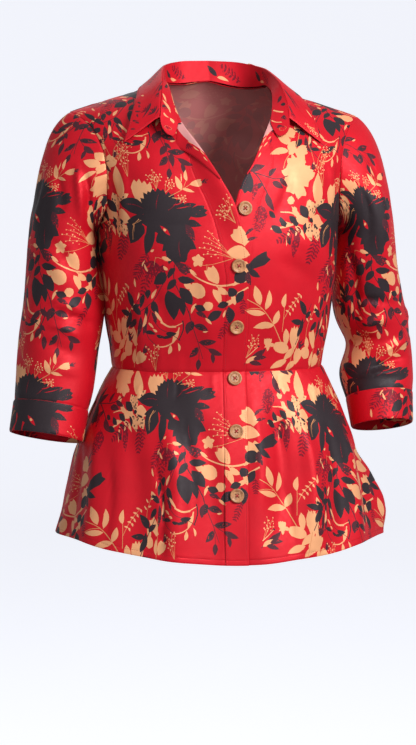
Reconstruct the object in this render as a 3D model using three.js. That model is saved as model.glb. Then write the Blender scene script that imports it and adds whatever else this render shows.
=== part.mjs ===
// A woven blouse with a flared peplum: shirt collar worn open, lapped button front, elbow sleeves
// with plain band cuffs. Every piece of cloth is a thin wall on the form that the worn garment
// keeps. Millimetres, +Z up, the front faces -Y and +X is the wearer's left. The origin is the
// middle of the neck at the level of the side neck points.
import * as THREE from 'three';

// ---- driving sizes ----------------------------------------------------------------------------
const CLOTH = 1.2;              // wall of one layer of cloth
const BAND = 1.6;               // wall of a doubled band: plackets, cuffs and collar
const SEAM = 0.3;               // space between two pieces at a seam
const WAIST_Z = -363;           // level of the waist seam
const UNDERARM_Z = -178;        // level of the underarm points
const NECK_HALF = 66;           // half width of the neckline at the shoulder
const NECK_Z = 0;               // level of the shoulder seams at the neck
const NECK_DIP = 12.6;          // how far the back neckline dips below the shoulder line
const LEFT_DROP = 5;            // how much lower the wearer holds the left shoulder
const RIDGE_Y = 8;              // the shoulder seams lie a little behind the middle
const CHEST_FALL = 130;         // drop over which the shoulder rounds on to the chest
const BLADE_FALL = 75;          // the same on to the back
const RIDGE_SOFT = 8;           // rounding of the shoulder line across the neck
const SQUARE = 0.12;            // how far a body section is squarer than an ellipse
const LAP_LIFT = 2.6;           // how far the lapped front stands out over the one beneath
const CENTRE_X = 3;             // the plackets' centre line on the bodice
const CENTRE_DRIFT = -6;        // how far it moves towards the wearer's right by the hem
const PLACKET_HALF = 14.3;      // half width of a placket
const CUFF_HEIGHT = 40;
const BUTTON_RADIUS = 8.9;
const BUTTON_HEIGHT = 3.4;

const SHOULDERS = {
  right: { sign: -1, slope: 0.315, tip: 188 },
  left: { sign: 1, slope: 0.31, tip: 184 },
};

// Body sections: level, half width, depth in front of the middle, depth behind it.
const TORSO = [
  { z: -380, half: 134, front: 98, back: 87 },
  { z: -362, half: 136, front: 100, back: 88 },
  { z: -335, half: 139.5, front: 106, back: 92 },
  { z: -300, half: 145, front: 115, back: 99 },
  { z: -255, half: 150, front: 123, back: 106 },
  { z: -215, half: 153.5, front: 127, back: 111 },
  { z: -178, half: 155, front: 125, back: 114 },
  { z: -130, half: 163, front: 119, back: 115 },
  { z: -85, half: 180, front: 110, back: 110 },
  { z: -40, half: 202, front: 100, back: 103 },
  { z: 20, half: 214, front: 90, back: 94 },
];

// Peplum sections: share of its height, half width, front depth, back depth.
const PEPLUM = [
  { v: 0, half: 136, front: 100, back: 88 },
  { v: 0.08, half: 145.5, front: 106, back: 96 },
  { v: 0.2, half: 158, front: 115, back: 108 },
  { v: 0.33, half: 169.5, front: 122, back: 120 },
  { v: 0.45, half: 179, front: 129, back: 131 },
  { v: 0.58, half: 186.5, front: 135, back: 140 },
  { v: 0.72, half: 193.5, front: 141, back: 147 },
  { v: 0.86, half: 201.5, front: 147, back: 154 },
  { v: 1, half: 211.5, front: 153, back: 161 },
];

// Height of the peplum round the hem, by angle from the centre front towards the wearer's left.
const PEPLUM_DROP = [
  { angle: -180, drop: 226 },
  { angle: -130, drop: 222 },
  { angle: -90, drop: 212 },
  { angle: -62, drop: 210 },
  { angle: -42, drop: 218 },
  { angle: -20, drop: 229 },
  { angle: 0, drop: 235 },
  { angle: 20, drop: 231 },
  { angle: 45, drop: 221 },
  { angle: 65, drop: 219 },
  { angle: 95, drop: 225 },
  { angle: 180, drop: 226 },
];

// Soft folds of the peplum: angle as above, half spread (both degrees), rise of the fold at
// the hem, share of the height where it starts, and share of its rise that it loses again at
// the very hem.
const PEPLUM_FOLDS = [
  { angle: -152, spread: 17, rise: 10, start: 0.2, tuck: 0 },
  { angle: -118, spread: 15, rise: 8, start: 0.3, tuck: 0 },
  { angle: -84, spread: 13, rise: 3, start: 0.45, tuck: 0 },
  { angle: -50, spread: 15, rise: 5, start: 0.35, tuck: 0 },
  { angle: -20, spread: 9, rise: 6, start: 0.5, tuck: 0 },
  { angle: 9, spread: 9, rise: 5, start: 0.25, tuck: 0 },
  { angle: 34, spread: 13, rise: 6, start: 0.3, tuck: 0 },
  { angle: 88, spread: 16, rise: 19, start: 0.5, tuck: 0.5 },
  { angle: 120, spread: 14, rise: 7, start: 0.3, tuck: 0 },
  { angle: 150, spread: 16, rise: 10, start: 0.2, tuck: 0 },
  { angle: 180, spread: 11, rise: 4, start: 0.4, tuck: 0 },
];

// Armholes: share of the height from underarm to shoulder, distance from the middle in front
// and behind. The last row is the shoulder tip.
const ARMHOLE = [
  { share: 0, front: 155, back: 155 },
  { share: 0.05, front: 152.8, back: 153.6 },
  { share: 0.18, front: 149.5, back: 151 },
  { share: 0.44, front: 150, back: 152 },
  { share: 0.65, front: 156, back: 158 },
  { share: 0.8, front: 165.5, back: 167 },
  { share: 0.91, front: 176.5, back: 177.5 },
  { share: 1, front: 188, back: 188 },
];

// Front openings by level: where the fold or free edge of each front lies, and the seam of its
// placket. Below the last row both run straight down.
const OPENING = [
  { z: -245, rightEdge: 17.3, rightSeam: -11.3, leftEdge: -11.3, leftSeam: 17.3 },
  { z: -200, rightEdge: 10, rightSeam: -19.5, leftEdge: -8, leftSeam: 20.5 },
  { z: -175, rightEdge: 5, rightSeam: -26, leftEdge: -4.5, leftSeam: 25 },
  { z: -150, rightEdge: -3, rightSeam: -35.5, leftEdge: 1.5, leftSeam: 31.5 },
  { z: -125, rightEdge: -16.5, rightSeam: -47, leftEdge: 10.7, leftSeam: 43 },
  { z: -105, rightEdge: -28.5, rightSeam: -53, leftEdge: 23.5, leftSeam: 50 },
  { z: -86, rightEdge: -40, rightSeam: -54, leftEdge: 33.5, leftSeam: 50.5 },
  { z: -68, rightEdge: -51.5, rightSeam: -54, leftEdge: 43, leftSeam: 46 },
  { z: -50, rightEdge: -60.5, rightSeam: -60.5, leftEdge: 53, leftSeam: 53 },
  { z: -30, rightEdge: -65, rightSeam: -65, leftEdge: 61.5, leftSeam: 61.5 },
  { z: 2, rightEdge: -66, rightSeam: -66, leftEdge: 66, leftSeam: 66 },
];
const PLACKET_TOP_Z = { right: -70, left: -71 };   // where each placket turns back completely

// The fronts turn back along the opening: width that shows at each level.
const TURNED = {
  right: [
    { z: -61, width: 9 },
    { z: -70, width: 17 },
    { z: -82, width: 24 },
    { z: -97, width: 14.5 },
    { z: -113, width: 7 },
    { z: -124, width: 2 },
  ],
  left: [
    { z: -62, width: 5 },
    { z: -70, width: 10.5 },
    { z: -79, width: 12.5 },
    { z: -94, width: 6 },
    { z: -108, width: 3 },
    { z: -118, width: 1.5 },
  ],
};

// Collar: foot of the stand, fold line and free edge of the leaf, from the middle of the back
// to the front end. Each point is given beside the middle (x, for both sides), with its y.
const COLLAR = [
  { run: 0, foot: [0, 58.5, 4.5], fold: [0, 67, 30.5], edge: [0, 92, -14] },
  { run: 0.2, foot: [40, 50.5, -1.5], fold: [40, 58, 28.5], edge: [50, 87, -15] },
  { run: 0.38, foot: [61.5, 28, -1.8], fold: [62, 31, 21.5], edge: [87, 50, -10] },
  { run: 0.52, foot: [66.5, 0, -2], fold: [69.5, 0, 13.5], edge: [100.5, 6, -9.5] },
  { run: 0.68, foot: [67.5, -40, -13.5], fold: [76.5, -43, -4], edge: [110, -41, -24] },
  { run: 0.84, foot: [65, -63.5, -33], fold: [81.5, -70, -27], edge: [120, -67, -51] },
  { run: 1, foot: [61.5, -81, -54], fold: [84, -84, -48], edge: [128.5, -78, -78] },
];
// The stand's ends run on past the collar's: by this share of the run, moved this far, and
// rounded by these shares of its height below and above.
const STAND_TAIL = { run: 0.21, side: -3, forward: -12, down: -19, roundLow: 0.3, roundHigh: 0.62 };
const BLUNT = 0.985;            // how far the rounding runs before it would close to a point
const COLLAR_SHIFT = { right: -3.2, left: -8.5 };   // how far its ends lie to the wearer's right

// Sleeves below the armholes: centre of each ring and its reach outward, inward, to the front
// and to the back. The first row lies just below the underarm, the last one at the cuff seam.
const SLEEVES = {
  right: [
    { x: -199, y: 5, z: -192, out: 41, in: 41, front: 57, back: 58 },
    { x: -198, y: 5, z: -240, out: 47.5, in: 44.5, front: 55, back: 57 },
    { x: -200, y: 5, z: -290, out: 50.5, in: 51, front: 53, back: 55 },
    { x: -205, y: 3, z: -340, out: 52, in: 50, front: 51.5, back: 53 },
    { x: -211, y: -5, z: -385, out: 51, in: 49.5, front: 49, back: 50 },
    { x: -216, y: -11, z: -411, out: 48.5, in: 47, front: 46.5, back: 47 },
  ],
  left: [
    { x: 197, y: 6, z: -192, out: 37.5, in: 39, front: 57, back: 58 },
    { x: 199, y: 14, z: -240, out: 43.5, in: 43, front: 54, back: 56 },
    { x: 207, y: 24, z: -290, out: 47, in: 45, front: 51, back: 54 },
    { x: 219.5, y: 32, z: -334, out: 47, in: 38.5, front: 50, back: 52 },
    { x: 221, y: 25, z: -376, out: 47.5, in: 50.5, front: 48, back: 49 },
    { x: 220, y: 12, z: -407, out: 44.5, in: 44, front: 45, back: 46 },
  ],
};
const CUFFS = {
  right: { lean: 0.19, forward: 0.21, taper: 0.985 },
  left: { lean: 0.03, forward: 0.32, taper: 0.92 },
};

// Buttons down the front: level, and the side of the centre line. The first one is on the
// front beneath, left undone.
const BUTTONS = [
  { z: -159.5, x: 12, open: true },
  { z: -229.5, x: CENTRE_X },
  { z: -305.5, x: CENTRE_X },
  { z: -371, x: CENTRE_X },
  { z: -435, x: CENTRE_X },
  { z: -513, x: CENTRE_X },
];

// ---- finishes ---------------------------------------------------------------------------------
const satin = (hex) => new THREE.MeshStandardMaterial({ color: hex, roughness: 0.45, metalness: 0 });
const RED = 0xb8142a;
const BAND_RED = 0xc41a30;
const BUTTON_BROWN = 0xa8764c;

// ---- small mathematics ------------------------------------------------------------------------
const HALF_TURN = Math.PI;
const QUARTER = Math.PI / 2;
const rad = (degrees) => degrees * Math.PI / 180;
const mix = (a, b, t) => a + (b - a) * t;
const vec = (x, y, z) => new THREE.Vector3(x, y, z);

function smooth(from, to, value) {
  const t = Math.min(1, Math.max(0, (value - from) / (to - from)));
  return t * t * (3 - 2 * t);
}

// A smooth curve through one column of a table, along its key column.
function through(table, key, column, at) {
  const rows = table[0][key] <= table[table.length - 1][key] ? table : [...table].reverse();
  const last = rows.length - 1;
  if (at <= rows[0][key]) return rows[0][column];
  if (at >= rows[last][key]) return rows[last][column];
  let i = 0;
  while (rows[i + 1][key] < at) i += 1;
  const slope = (k) => {
    const a = rows[Math.max(k - 1, 0)];
    const b = rows[Math.min(k + 1, last)];
    return (b[column] - a[column]) / (b[key] - a[key]);
  };
  const span = rows[i + 1][key] - rows[i][key];
  const t = (at - rows[i][key]) / span;
  const t2 = t * t;
  const t3 = t2 * t;
  return rows[i][column] * (2 * t3 - 3 * t2 + 1) + slope(i) * span * (t3 - 2 * t2 + t)
    + rows[i + 1][column] * (3 * t2 - 2 * t3) + slope(i + 1) * span * (t3 - t2);
}

// ---- the form of the worn garment -------------------------------------------------------------
const shoulderOf = (x) => (x < 0 ? SHOULDERS.right : SHOULDERS.left);
const acrossShare = (angle) => Math.sin(angle) * (1 + SQUARE * Math.cos(angle) ** 2);
const alongShare = (angle) => Math.cos(angle) * (1 + SQUARE * Math.sin(angle) ** 2);

function ridgeZ(x) {
  const reach = Math.hypot(x, RIDGE_SOFT) - Math.hypot(NECK_HALF, RIDGE_SOFT);
  return NECK_Z - LEFT_DROP * smooth(-60, 60, x) - shoulderOf(x).slope * reach;
}

// A point of the body's form: angle from the centre front towards the wearer's left, and level.
function torso(angle, z) {
  const x = through(TORSO, 'z', 'half', z) * acrossShare(angle);
  const along = alongShare(angle);
  const chest = -through(TORSO, 'z', along > 0 ? 'front' : 'back', z) * along;
  const fall = Math.max(0, (ridgeZ(x) - z) / (along > 0 ? CHEST_FALL : BLADE_FALL));
  const round = fall >= 1 ? 1 : Math.sqrt(1 - (1 - fall) ** 2);
  return vec(x, RIDGE_Y + (chest - RIDGE_Y) * round, z);
}

// The angle at which a front section reaches a distance from the middle.
function angleAt(x, z) {
  const share = Math.min(1, Math.abs(x) / through(TORSO, 'z', 'half', z));
  let low = 0;
  let high = QUARTER;
  for (let i = 0; i < 30; i += 1) {
    const middle = (low + high) / 2;
    if (acrossShare(middle) < share) low = middle;
    else high = middle;
  }
  return Math.sign(x) * (low + high) / 2;
}

const lapLift = (x) => LAP_LIFT * smooth(-62, -14, x);
const backOf = (angle) => Math.sign(angle) * (HALF_TURN - Math.abs(angle));

function openingX(column, z) {
  return through(OPENING, 'z', column, z);
}

// Space left at a placket's seam: the slanted stretch beside the opening is given a little more.
const BIAS_SPACE = 1.2;
const seamSpace = (z) => SEAM / 2 + BIAS_SPACE * smooth(-205, -165, z);

function armholeX(side, face, share) {
  const scale = SHOULDERS[side].tip / ARMHOLE[ARMHOLE.length - 1].front;
  const wide = through(ARMHOLE, 'share', face, share);
  const fit = mix(1, scale, smooth(0, 1, share));
  return SHOULDERS[side].sign * wide * fit;
}

// Level at a share of the height between the underarm and the shoulder line.
const shareZ = (x, share) => UNDERARM_Z + (ridgeZ(x) - UNDERARM_Z) * share;

function armholePoint(side, face, share) {
  const x = armholeX(side, face, share);
  const z = shareZ(x, share);
  if (share <= 0) return torso(SHOULDERS[side].sign * QUARTER, z);
  const angle = angleAt(x, z);
  return torso(face === 'front' ? angle : backOf(angle), z);
}

// The outward normal of a surface given as a function of u and v.
function normalOf(surface, u, v, flip) {
  const step = 1e-3;
  const du = surface(u + step, v).sub(surface(u - step, v));
  const dv = surface(u, v + step).sub(surface(u, v - step));
  return du.cross(dv).normalize().multiplyScalar(flip);
}

// ---- walls ------------------------------------------------------------------------------------
// A closed wall on a surface: u across and v along, both 0 to 1. The surface is the wall's
// outer face, or lies `lift` under it; `around` joins the last column to the first.
function wall(name, surface, shape) {
  const { columns, rows, thick, flip = 1, around = false, lift = 0, colour = RED } = shape;
  const across = around ? columns : columns + 1;
  const positions = [];
  const inside = (t) => Math.min(1 - 2e-3, Math.max(2e-3, t));
  for (const depth of [lift, lift - thick]) {
    for (let j = 0; j <= rows; j += 1) {
      for (let i = 0; i < across; i += 1) {
        const u = i / columns;
        const v = j / rows;
        const normal = normalOf(surface, around ? u : inside(u), inside(v), flip);
        const point = surface(u, v).addScaledVector(normal, depth);
        positions.push(point.x, point.y, point.z);
      }
    }
  }
  const layer = across * (rows + 1);
  const at = (side, i, j) => side * layer + j * across + (around ? i % columns : i);
  const triangles = [];
  const quad = (a, b, c, d) => triangles.push(a, b, c, a, c, d);
  for (let j = 0; j < rows; j += 1) {
    for (let i = 0; i < columns; i += 1) {
      quad(at(0, i, j), at(0, i + 1, j), at(0, i + 1, j + 1), at(0, i, j + 1));
      quad(at(1, i, j), at(1, i, j + 1), at(1, i + 1, j + 1), at(1, i + 1, j));
    }
  }
  for (let i = 0; i < columns; i += 1) {
    quad(at(0, i, 0), at(1, i, 0), at(1, i + 1, 0), at(0, i + 1, 0));
    quad(at(0, i, rows), at(0, i + 1, rows), at(1, i + 1, rows), at(1, i, rows));
  }
  if (!around) {
    for (let j = 0; j < rows; j += 1) {
      quad(at(0, 0, j), at(0, 0, j + 1), at(1, 0, j + 1), at(1, 0, j));
      quad(at(0, columns, j), at(1, columns, j), at(1, columns, j + 1), at(0, columns, j + 1));
    }
  }
  return solid(name, positions, triangles, colour);
}

// A mesh from points and triangles, turned so that its faces point outward.
function solid(name, positions, triangles, colour) {
  let volume = 0;
  const point = (k) => vec(positions[3 * k], positions[3 * k + 1], positions[3 * k + 2]);
  for (let k = 0; k < triangles.length; k += 3) {
    const [a, b, c] = [point(triangles[k]), point(triangles[k + 1]), point(triangles[k + 2])];
    volume += a.dot(b.cross(c));
  }
  const order = volume < 0 ? [...triangles].reverse() : triangles;
  const geometry = new THREE.BufferGeometry();
  geometry.setAttribute('position', new THREE.Float32BufferAttribute(positions, 3));
  geometry.setIndex(order);
  geometry.computeVertexNormals();
  const mesh = new THREE.Mesh(geometry, satin(colour));
  mesh.name = name;
  return mesh;
}

// ---- bodice -----------------------------------------------------------------------------------
const SIDE_GAP = SEAM / 2 / 120;       // half a seam's space, as an angle at the side seams
const RIDGE_GAP = 2e-3;                // the same at the shoulder seams, as a share of the rows
const LOWER_ROWS = 0.42;               // share of a bodice piece's rows below the underarm

// Level and height share of a bodice row: v is 0 at the waist seam and 1 at the shoulder.
function bodiceRow(v) {
  if (v < LOWER_ROWS) return { z: mix(WAIST_Z + SEAM / 2, UNDERARM_Z, v / LOWER_ROWS), share: 0 };
  const w = Math.min(1 - RIDGE_GAP, (v - LOWER_ROWS) / (1 - LOWER_ROWS));
  return { z: null, share: Math.sin(w * QUARTER) };
}

function frontPanel(side) {
  const { sign } = SHOULDERS[side];
  const seam = side === 'right' ? 'rightSeam' : 'leftSeam';
  const surface = (u, v) => {
    const { z, share } = bodiceRow(v);
    if (z !== null) {
      const edge = angleAt(openingX(seam, z) + sign * seamSpace(z), z);
      return lifted(mix(sign * (QUARTER - SIDE_GAP), edge, u), z, side);
    }
    const arm = armholePoint(side, 'front', share);
    let inner = shareZ(sign * NECK_HALF, share);
    for (let i = 0; i < 4; i += 1) inner = shareZ(openingX(seam, inner), share);
    const innerX = openingX(seam, inner) + sign * seamSpace(inner);
    const start = share <= 0 ? sign * (QUARTER - SIDE_GAP) : Math.min(
      QUARTER - SIDE_GAP, Math.abs(angleAt(arm.x, arm.z))) * sign;
    const angle = mix(start, angleAt(innerX, inner), u);
    return onShare(angle, share, side);
  };
  return wall(`front_${side}`, surface, { columns: 10, rows: 13, thick: CLOTH, flip: -sign });
}

// The lapped front stands out over the other one near the centre line.
function lifted(angle, z, side) {
  const point = torso(angle, z);
  if (side === 'right') {
    const out = vec(Math.sin(angle), -Math.cos(angle), 0);
    point.addScaledVector(out, lapLift(point.x));
  }
  return point;
}

// A front point at an angle and at a share of the height between underarm and shoulder line.
function onShare(angle, share, side) {
  let z = shareZ(SHOULDERS[side].sign * 120, share);
  for (let i = 0; i < 6; i += 1) {
    z = shareZ(through(TORSO, 'z', 'half', z) * acrossShare(angle), share);
  }
  return lifted(angle, z, side);
}

// The back reaches from armhole to armhole; its neckline dips below the shoulder line.
const backNeckDip = (x) => NECK_DIP * Math.max(0, 1 - (x / NECK_HALF) ** 2);

function backPanel() {
  const surface = (u, v) => {
    const { z, share } = bodiceRow(v);
    const side = u < 0.5 ? 'left' : 'right';
    const { sign } = SHOULDERS[side];
    const away = Math.abs(2 * u - 1);
    if (z !== null) return torso(sign * mix(HALF_TURN, QUARTER + SIDE_GAP, away), z);
    const arm = armholePoint(side, 'back', share);
    const edge = share <= 0 ? QUARTER : Math.abs(angleAt(arm.x, arm.z));
    const angle = sign * mix(HALF_TURN, HALF_TURN - Math.min(QUARTER - SIDE_GAP, edge), away);
    let level = shareZ(0, share);
    for (let i = 0; i < 6; i += 1) {
      const x = through(TORSO, 'z', 'half', level) * acrossShare(angle);
      const top = ridgeZ(x) - backNeckDip(x);
      level = UNDERARM_Z + (top - UNDERARM_Z) * share;
    }
    return torso(angle, level);
  };
  return wall('back', surface, { columns: 18, rows: 13, thick: CLOTH, flip: 1 });
}

// ---- plackets ---------------------------------------------------------------------------------
const PLACKET_BED = { right: 0.3, left: 0 };   // the upper band lies a little over its front

function placket(side) {
  const { sign } = SHOULDERS[side];
  const edge = `${side}Edge`;
  const seam = `${side}Seam`;
  const surface = (u, v) => {
    const z = mix(WAIST_Z + SEAM / 2, PLACKET_TOP_Z[side], v);
    const from = openingX(seam, z) - sign * seamSpace(z);
    const to = openingX(edge, z);
    return lifted(angleAt(mix(from, to, u), z), z, side);
  };
  const shape = { columns: 3, rows: 16, thick: BAND, flip: -sign, lift: PLACKET_BED[side] };
  return wall(`placket_${side}`, surface, { ...shape, colour: BAND_RED });
}

const TURN_SPACE = 0.8;     // between a front and its turned-back edge

// The top of each front turned back along the opening, lying on the front.
function turnedEdge(side) {
  const { sign } = SHOULDERS[side];
  const rows = TURNED[side];
  const [top, bottom] = [rows[0].z, rows[rows.length - 1].z];
  const surface = (u, v) => {
    const z = mix(bottom, top, v);
    const fold = openingX(`${side}Edge`, z);
    const x = fold + sign * through(rows, 'z', 'width', z) * u;
    return lifted(angleAt(x, z), z, side);
  };
  const shape = { columns: 3, rows: 8, thick: CLOTH, flip: sign, lift: CLOTH + TURN_SPACE };
  return wall(`turned_edge_${side}`, surface, { ...shape, colour: BAND_RED });
}

// ---- peplum -----------------------------------------------------------------------------------
const FOLD_SINK = 2.5;                 // how far the cloth between the folds sinks by the hem

function foldRise(angle, v) {
  let rise = 0;
  for (const fold of PEPLUM_FOLDS) {
    let away = Math.abs(angle - rad(fold.angle));
    away = Math.min(away, 2 * HALF_TURN - away);
    const reach = fold.tuck > 0 ? 0.82 : 1.05;
    const grow = smooth(fold.start, reach, v) * (1 - fold.tuck * smooth(0.86, 1, v));
    rise += fold.rise * grow * Math.exp(-((away / rad(fold.spread)) ** 2) * 1.6);
  }
  return rise;
}

// A point of the peplum: angle as on the body, v from the waist seam (0) to the hem (1).
function peplumPoint(angle, v) {
  const along = alongShare(angle);
  const turn = angle > HALF_TURN ? angle - 2 * HALF_TURN : angle;
  const drop = through(PEPLUM_DROP, 'angle', 'drop', turn * 180 / Math.PI);
  const depth = through(PEPLUM, 'v', along > 0 ? 'front' : 'back', v);
  const point = vec(
    through(PEPLUM, 'v', 'half', v) * acrossShare(angle), -depth * along, WAIST_Z - drop * v);
  const out = vec(Math.sin(angle), -Math.cos(angle), 0);
  return point.addScaledVector(out, foldRise(angle, v) - FOLD_SINK * smooth(0.3, 1, v));
}

function peplumAngle(x, v) {
  const share = x / through(PEPLUM, 'v', 'half', v);
  return Math.asin(share / (1 + SQUARE));
}

function peplumLifted(angle, v, side) {
  const point = peplumPoint(angle, v);
  if (side === 'right') {
    point.addScaledVector(vec(Math.sin(angle), -Math.cos(angle), 0), lapLift(point.x));
  }
  return point;
}

const FRONT_DROP = through(PEPLUM_DROP, 'angle', 'drop', 0);
const PEPLUM_TOP = SEAM / 2 / FRONT_DROP;
const PLACKET_END = { right: 1, left: 0.985 };   // the band beneath ends a little short
const centreX = (v) => CENTRE_X + CENTRE_DRIFT * v;

function peplumFront(side) {
  const { sign } = SHOULDERS[side];
  const surface = (u, v) => {
    const w = mix(PEPLUM_TOP, 1, v);
    const seamX = centreX(w) + sign * (PLACKET_HALF + SEAM / 2);
    const angle = mix(sign * (QUARTER - SIDE_GAP), peplumAngle(seamX, w), u);
    return peplumLifted(angle, w, side);
  };
  return wall(`peplum_front_${side}`, surface, { columns: 16, rows: 8, thick: CLOTH, flip: sign });
}

function peplumBack() {
  const surface = (u, v) => {
    const angle = mix(QUARTER + SIDE_GAP, 2 * HALF_TURN - QUARTER - SIDE_GAP, u);
    const w = mix(PEPLUM_TOP, 1, v);
    return peplumPoint(angle, w);
  };
  return wall('peplum_back', surface, { columns: 24, rows: 8, thick: CLOTH, flip: -1 });
}

function peplumPlacket(side) {
  const { sign } = SHOULDERS[side];
  const surface = (u, v) => {
    const w = mix(PEPLUM_TOP, PLACKET_END[side], v);
    const x = centreX(w) + sign * mix(PLACKET_HALF - SEAM / 2, -PLACKET_HALF, u);
    return peplumLifted(peplumAngle(x, w), w, side);
  };
  const shape = { columns: 3, rows: 8, thick: BAND, flip: sign, lift: PLACKET_BED[side] };
  return wall(`peplum_placket_${side}`, surface, { ...shape, colour: BAND_RED });
}

// ---- sleeves and cuffs ------------------------------------------------------------------------
const CAP_SHARE = 0.42;     // share of a sleeve's rows above the first ring of its table
const SLEEVE_STEPS = 24;
const SQUARE_UP = 0.86;     // share of the sleeve after which its rings turn to the cuff's axis
const AXIS_STEP = 0.04;
const CUFF_EASE = 0.008;    // how much wider than the sleeve's end a cuff is
// How the sleeve leaves the armhole at the underarm and at the shoulder tip: direction outward
// and downward, and the pull of its curve at the armhole and at the first ring.
const LEAVE = {
  under: { out: 0.92, down: 0.4, start: 0.85, end: 0.9 },
  tip: { out: 0.86, down: 0.52, start: 0.75, end: 1.25 },
};
const ARMHOLE_GAP = 0.7;

function sleeveTable(side) {
  const rows = SLEEVES[side];
  return rows.map((row, i) => ({ ...row, k: i / (rows.length - 1) }));
}

// A ring of the sleeve below the armhole: turn is 0 on the outside and a quarter in front.
function sleeveRing(side, k, turn) {
  const table = sleeveTable(side);
  const get = (column, at) => through(table, 'k', column, at);
  const centre = (at) => vec(get('x', at), get('y', at), get('z', at));
  const next = centre(Math.min(1, k + AXIS_STEP));
  const axis = next.sub(centre(Math.max(0, k - AXIS_STEP))).normalize();
  axis.lerp(cuffAxis(side), smooth(SQUARE_UP, 1, k)).normalize();
  const reach = { out: get('out', k), in: get('in', k), front: get('front', k), back: get('back', k) };
  return ringPoint(side, centre(k), axis, turn, reach);
}

function cuffAxis(side) {
  const { lean, forward } = CUFFS[side];
  return vec(SHOULDERS[side].sign * lean, -forward, -1).normalize();
}

function ringPoint(side, centre, axis, turn, reach) {
  const outward = vec(SHOULDERS[side].sign, 0, 0);
  outward.addScaledVector(axis, -outward.dot(axis)).normalize();
  const ahead = vec(0, -1, 0);
  ahead.addScaledVector(axis, -ahead.dot(axis)).normalize();
  const c = Math.cos(turn);
  const s = Math.sin(turn);
  return centre.clone()
    .addScaledVector(outward, c * (c > 0 ? reach.out : reach.in))
    .addScaledVector(ahead, s * (s > 0 ? reach.front : reach.back));
}

// The sleeve's head: from the armhole, out and over, down to the first ring.
function sleeveHead(side, w, turn) {
  const { sign } = SHOULDERS[side];
  const share = (1 + Math.cos(turn)) / 2;
  const face = Math.sin(turn) >= 0 ? 'front' : 'back';
  const start = armholePoint(side, face, share);
  const between = (key) => mix(LEAVE.under[key], LEAVE.tip[key], share);
  const leave = vec(sign * between('out'), 0, -between('down')).normalize();
  start.addScaledVector(leave, ARMHOLE_GAP);
  const end = sleeveRing(side, 0, turn);
  const down = sleeveRing(side, 0.05, turn).sub(end).normalize();
  const chord = end.distanceTo(start);
  const w2 = w * w;
  const w3 = w2 * w;
  return start.multiplyScalar(2 * w3 - 3 * w2 + 1)
    .addScaledVector(leave, chord * between('start') * (w3 - 2 * w2 + w))
    .addScaledVector(end, 3 * w2 - 2 * w3)
    .addScaledVector(down, chord * between('end') * (w3 - w2));
}

function sleeve(side) {
  const { sign } = SHOULDERS[side];
  const surface = (u, v) => {
    const turn = u * 2 * HALF_TURN;
    if (v < CAP_SHARE) return sleeveHead(side, v / CAP_SHARE, turn);
    return sleeveRing(side, (v - CAP_SHARE) / (1 - CAP_SHARE), turn);
  };
  const shape = { columns: SLEEVE_STEPS, rows: 14, thick: CLOTH, flip: sign, around: true };
  return wall(`sleeve_${side}`, surface, shape);
}

function cuff(side) {
  const { sign } = SHOULDERS[side];
  const { taper } = CUFFS[side];
  const end = SLEEVES[side][SLEEVES[side].length - 1];
  const axis = cuffAxis(side);
  const surface = (u, v) => {
    const grow = mix(1, taper, v) + CUFF_EASE;
    const centre = vec(end.x, end.y, end.z).addScaledVector(axis, SEAM + CUFF_HEIGHT * v);
    const reach = {
      out: end.out * grow, in: end.in * grow, front: end.front * grow, back: end.back * grow,
    };
    return ringPoint(side, centre, axis, u * 2 * HALF_TURN, reach);
  };
  const shape = { columns: SLEEVE_STEPS, rows: 2, thick: BAND, flip: sign, around: true };
  return wall(`cuff_${side}`, surface, { ...shape, colour: BAND_RED });
}

// ---- collar -----------------------------------------------------------------------------------
// How much each line of the collar follows the tilt of the shoulders.
const TILT_SHARE = { foot: 1, fold: 0.1, edge: 0.6 };
// The leaf's crest over the stand's fold line at the back and at the ends, and its soft bend.
const LEAF_CREST = { back: { out: 2.4, up: 2 }, end: { out: 1.6, up: 1.2 } };
const LEAF_HANG = { share: 0.35, out: 1 };

// A line of the collar at a run from the wearer's right front (-1) round the back to the left.
function collarLine(line, run) {
  const at = Math.abs(run);
  const table = COLLAR.map(({ run: row, [line]: [px, py, pz] }) => ({ run: row, x: px, y: py, z: pz }));
  const [x, y, z] = ['x', 'y', 'z'].map((column) => through(table, 'run', column, at));
  const side = Math.sign(run) * x;
  const tilt = TILT_SHARE[line] * (smooth(-60, 60, side) - 0.5) * Math.cos(QUARTER * at);
  const shift = (side < 0 ? COLLAR_SHIFT.right : COLLAR_SHIFT.left) * at * at;
  return vec(side + shift, y, z - LEFT_DROP * tilt);
}

function collarStand() {
  const { run: tail, side, forward, down, roundLow, roundHigh } = STAND_TAIL;
  const surface = (u, v) => {
    const run = mix(-1 - tail, 1 + tail, u);
    const beyond = Math.max(0, Math.abs(run) - 1) / tail;
    const shut = Math.sign(run) * Math.min(1, Math.abs(run));
    const shift = vec(-Math.sign(run) * side, forward, down).multiplyScalar(beyond);
    const foot = collarLine('foot', shut).add(shift);
    const fold = collarLine('fold', shut).add(shift);
    const round = 1 - Math.sqrt(1 - Math.min(BLUNT, beyond) ** 2);
    const low = foot.clone().lerp(fold, round * roundLow);
    const high = fold.clone().lerp(foot, round * roundHigh);
    return low.lerp(high, v);
  };
  const shape = { columns: 32, rows: 2, thick: BAND, flip: -1, colour: BAND_RED };
  return wall('collar_stand', surface, shape);
}

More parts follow.
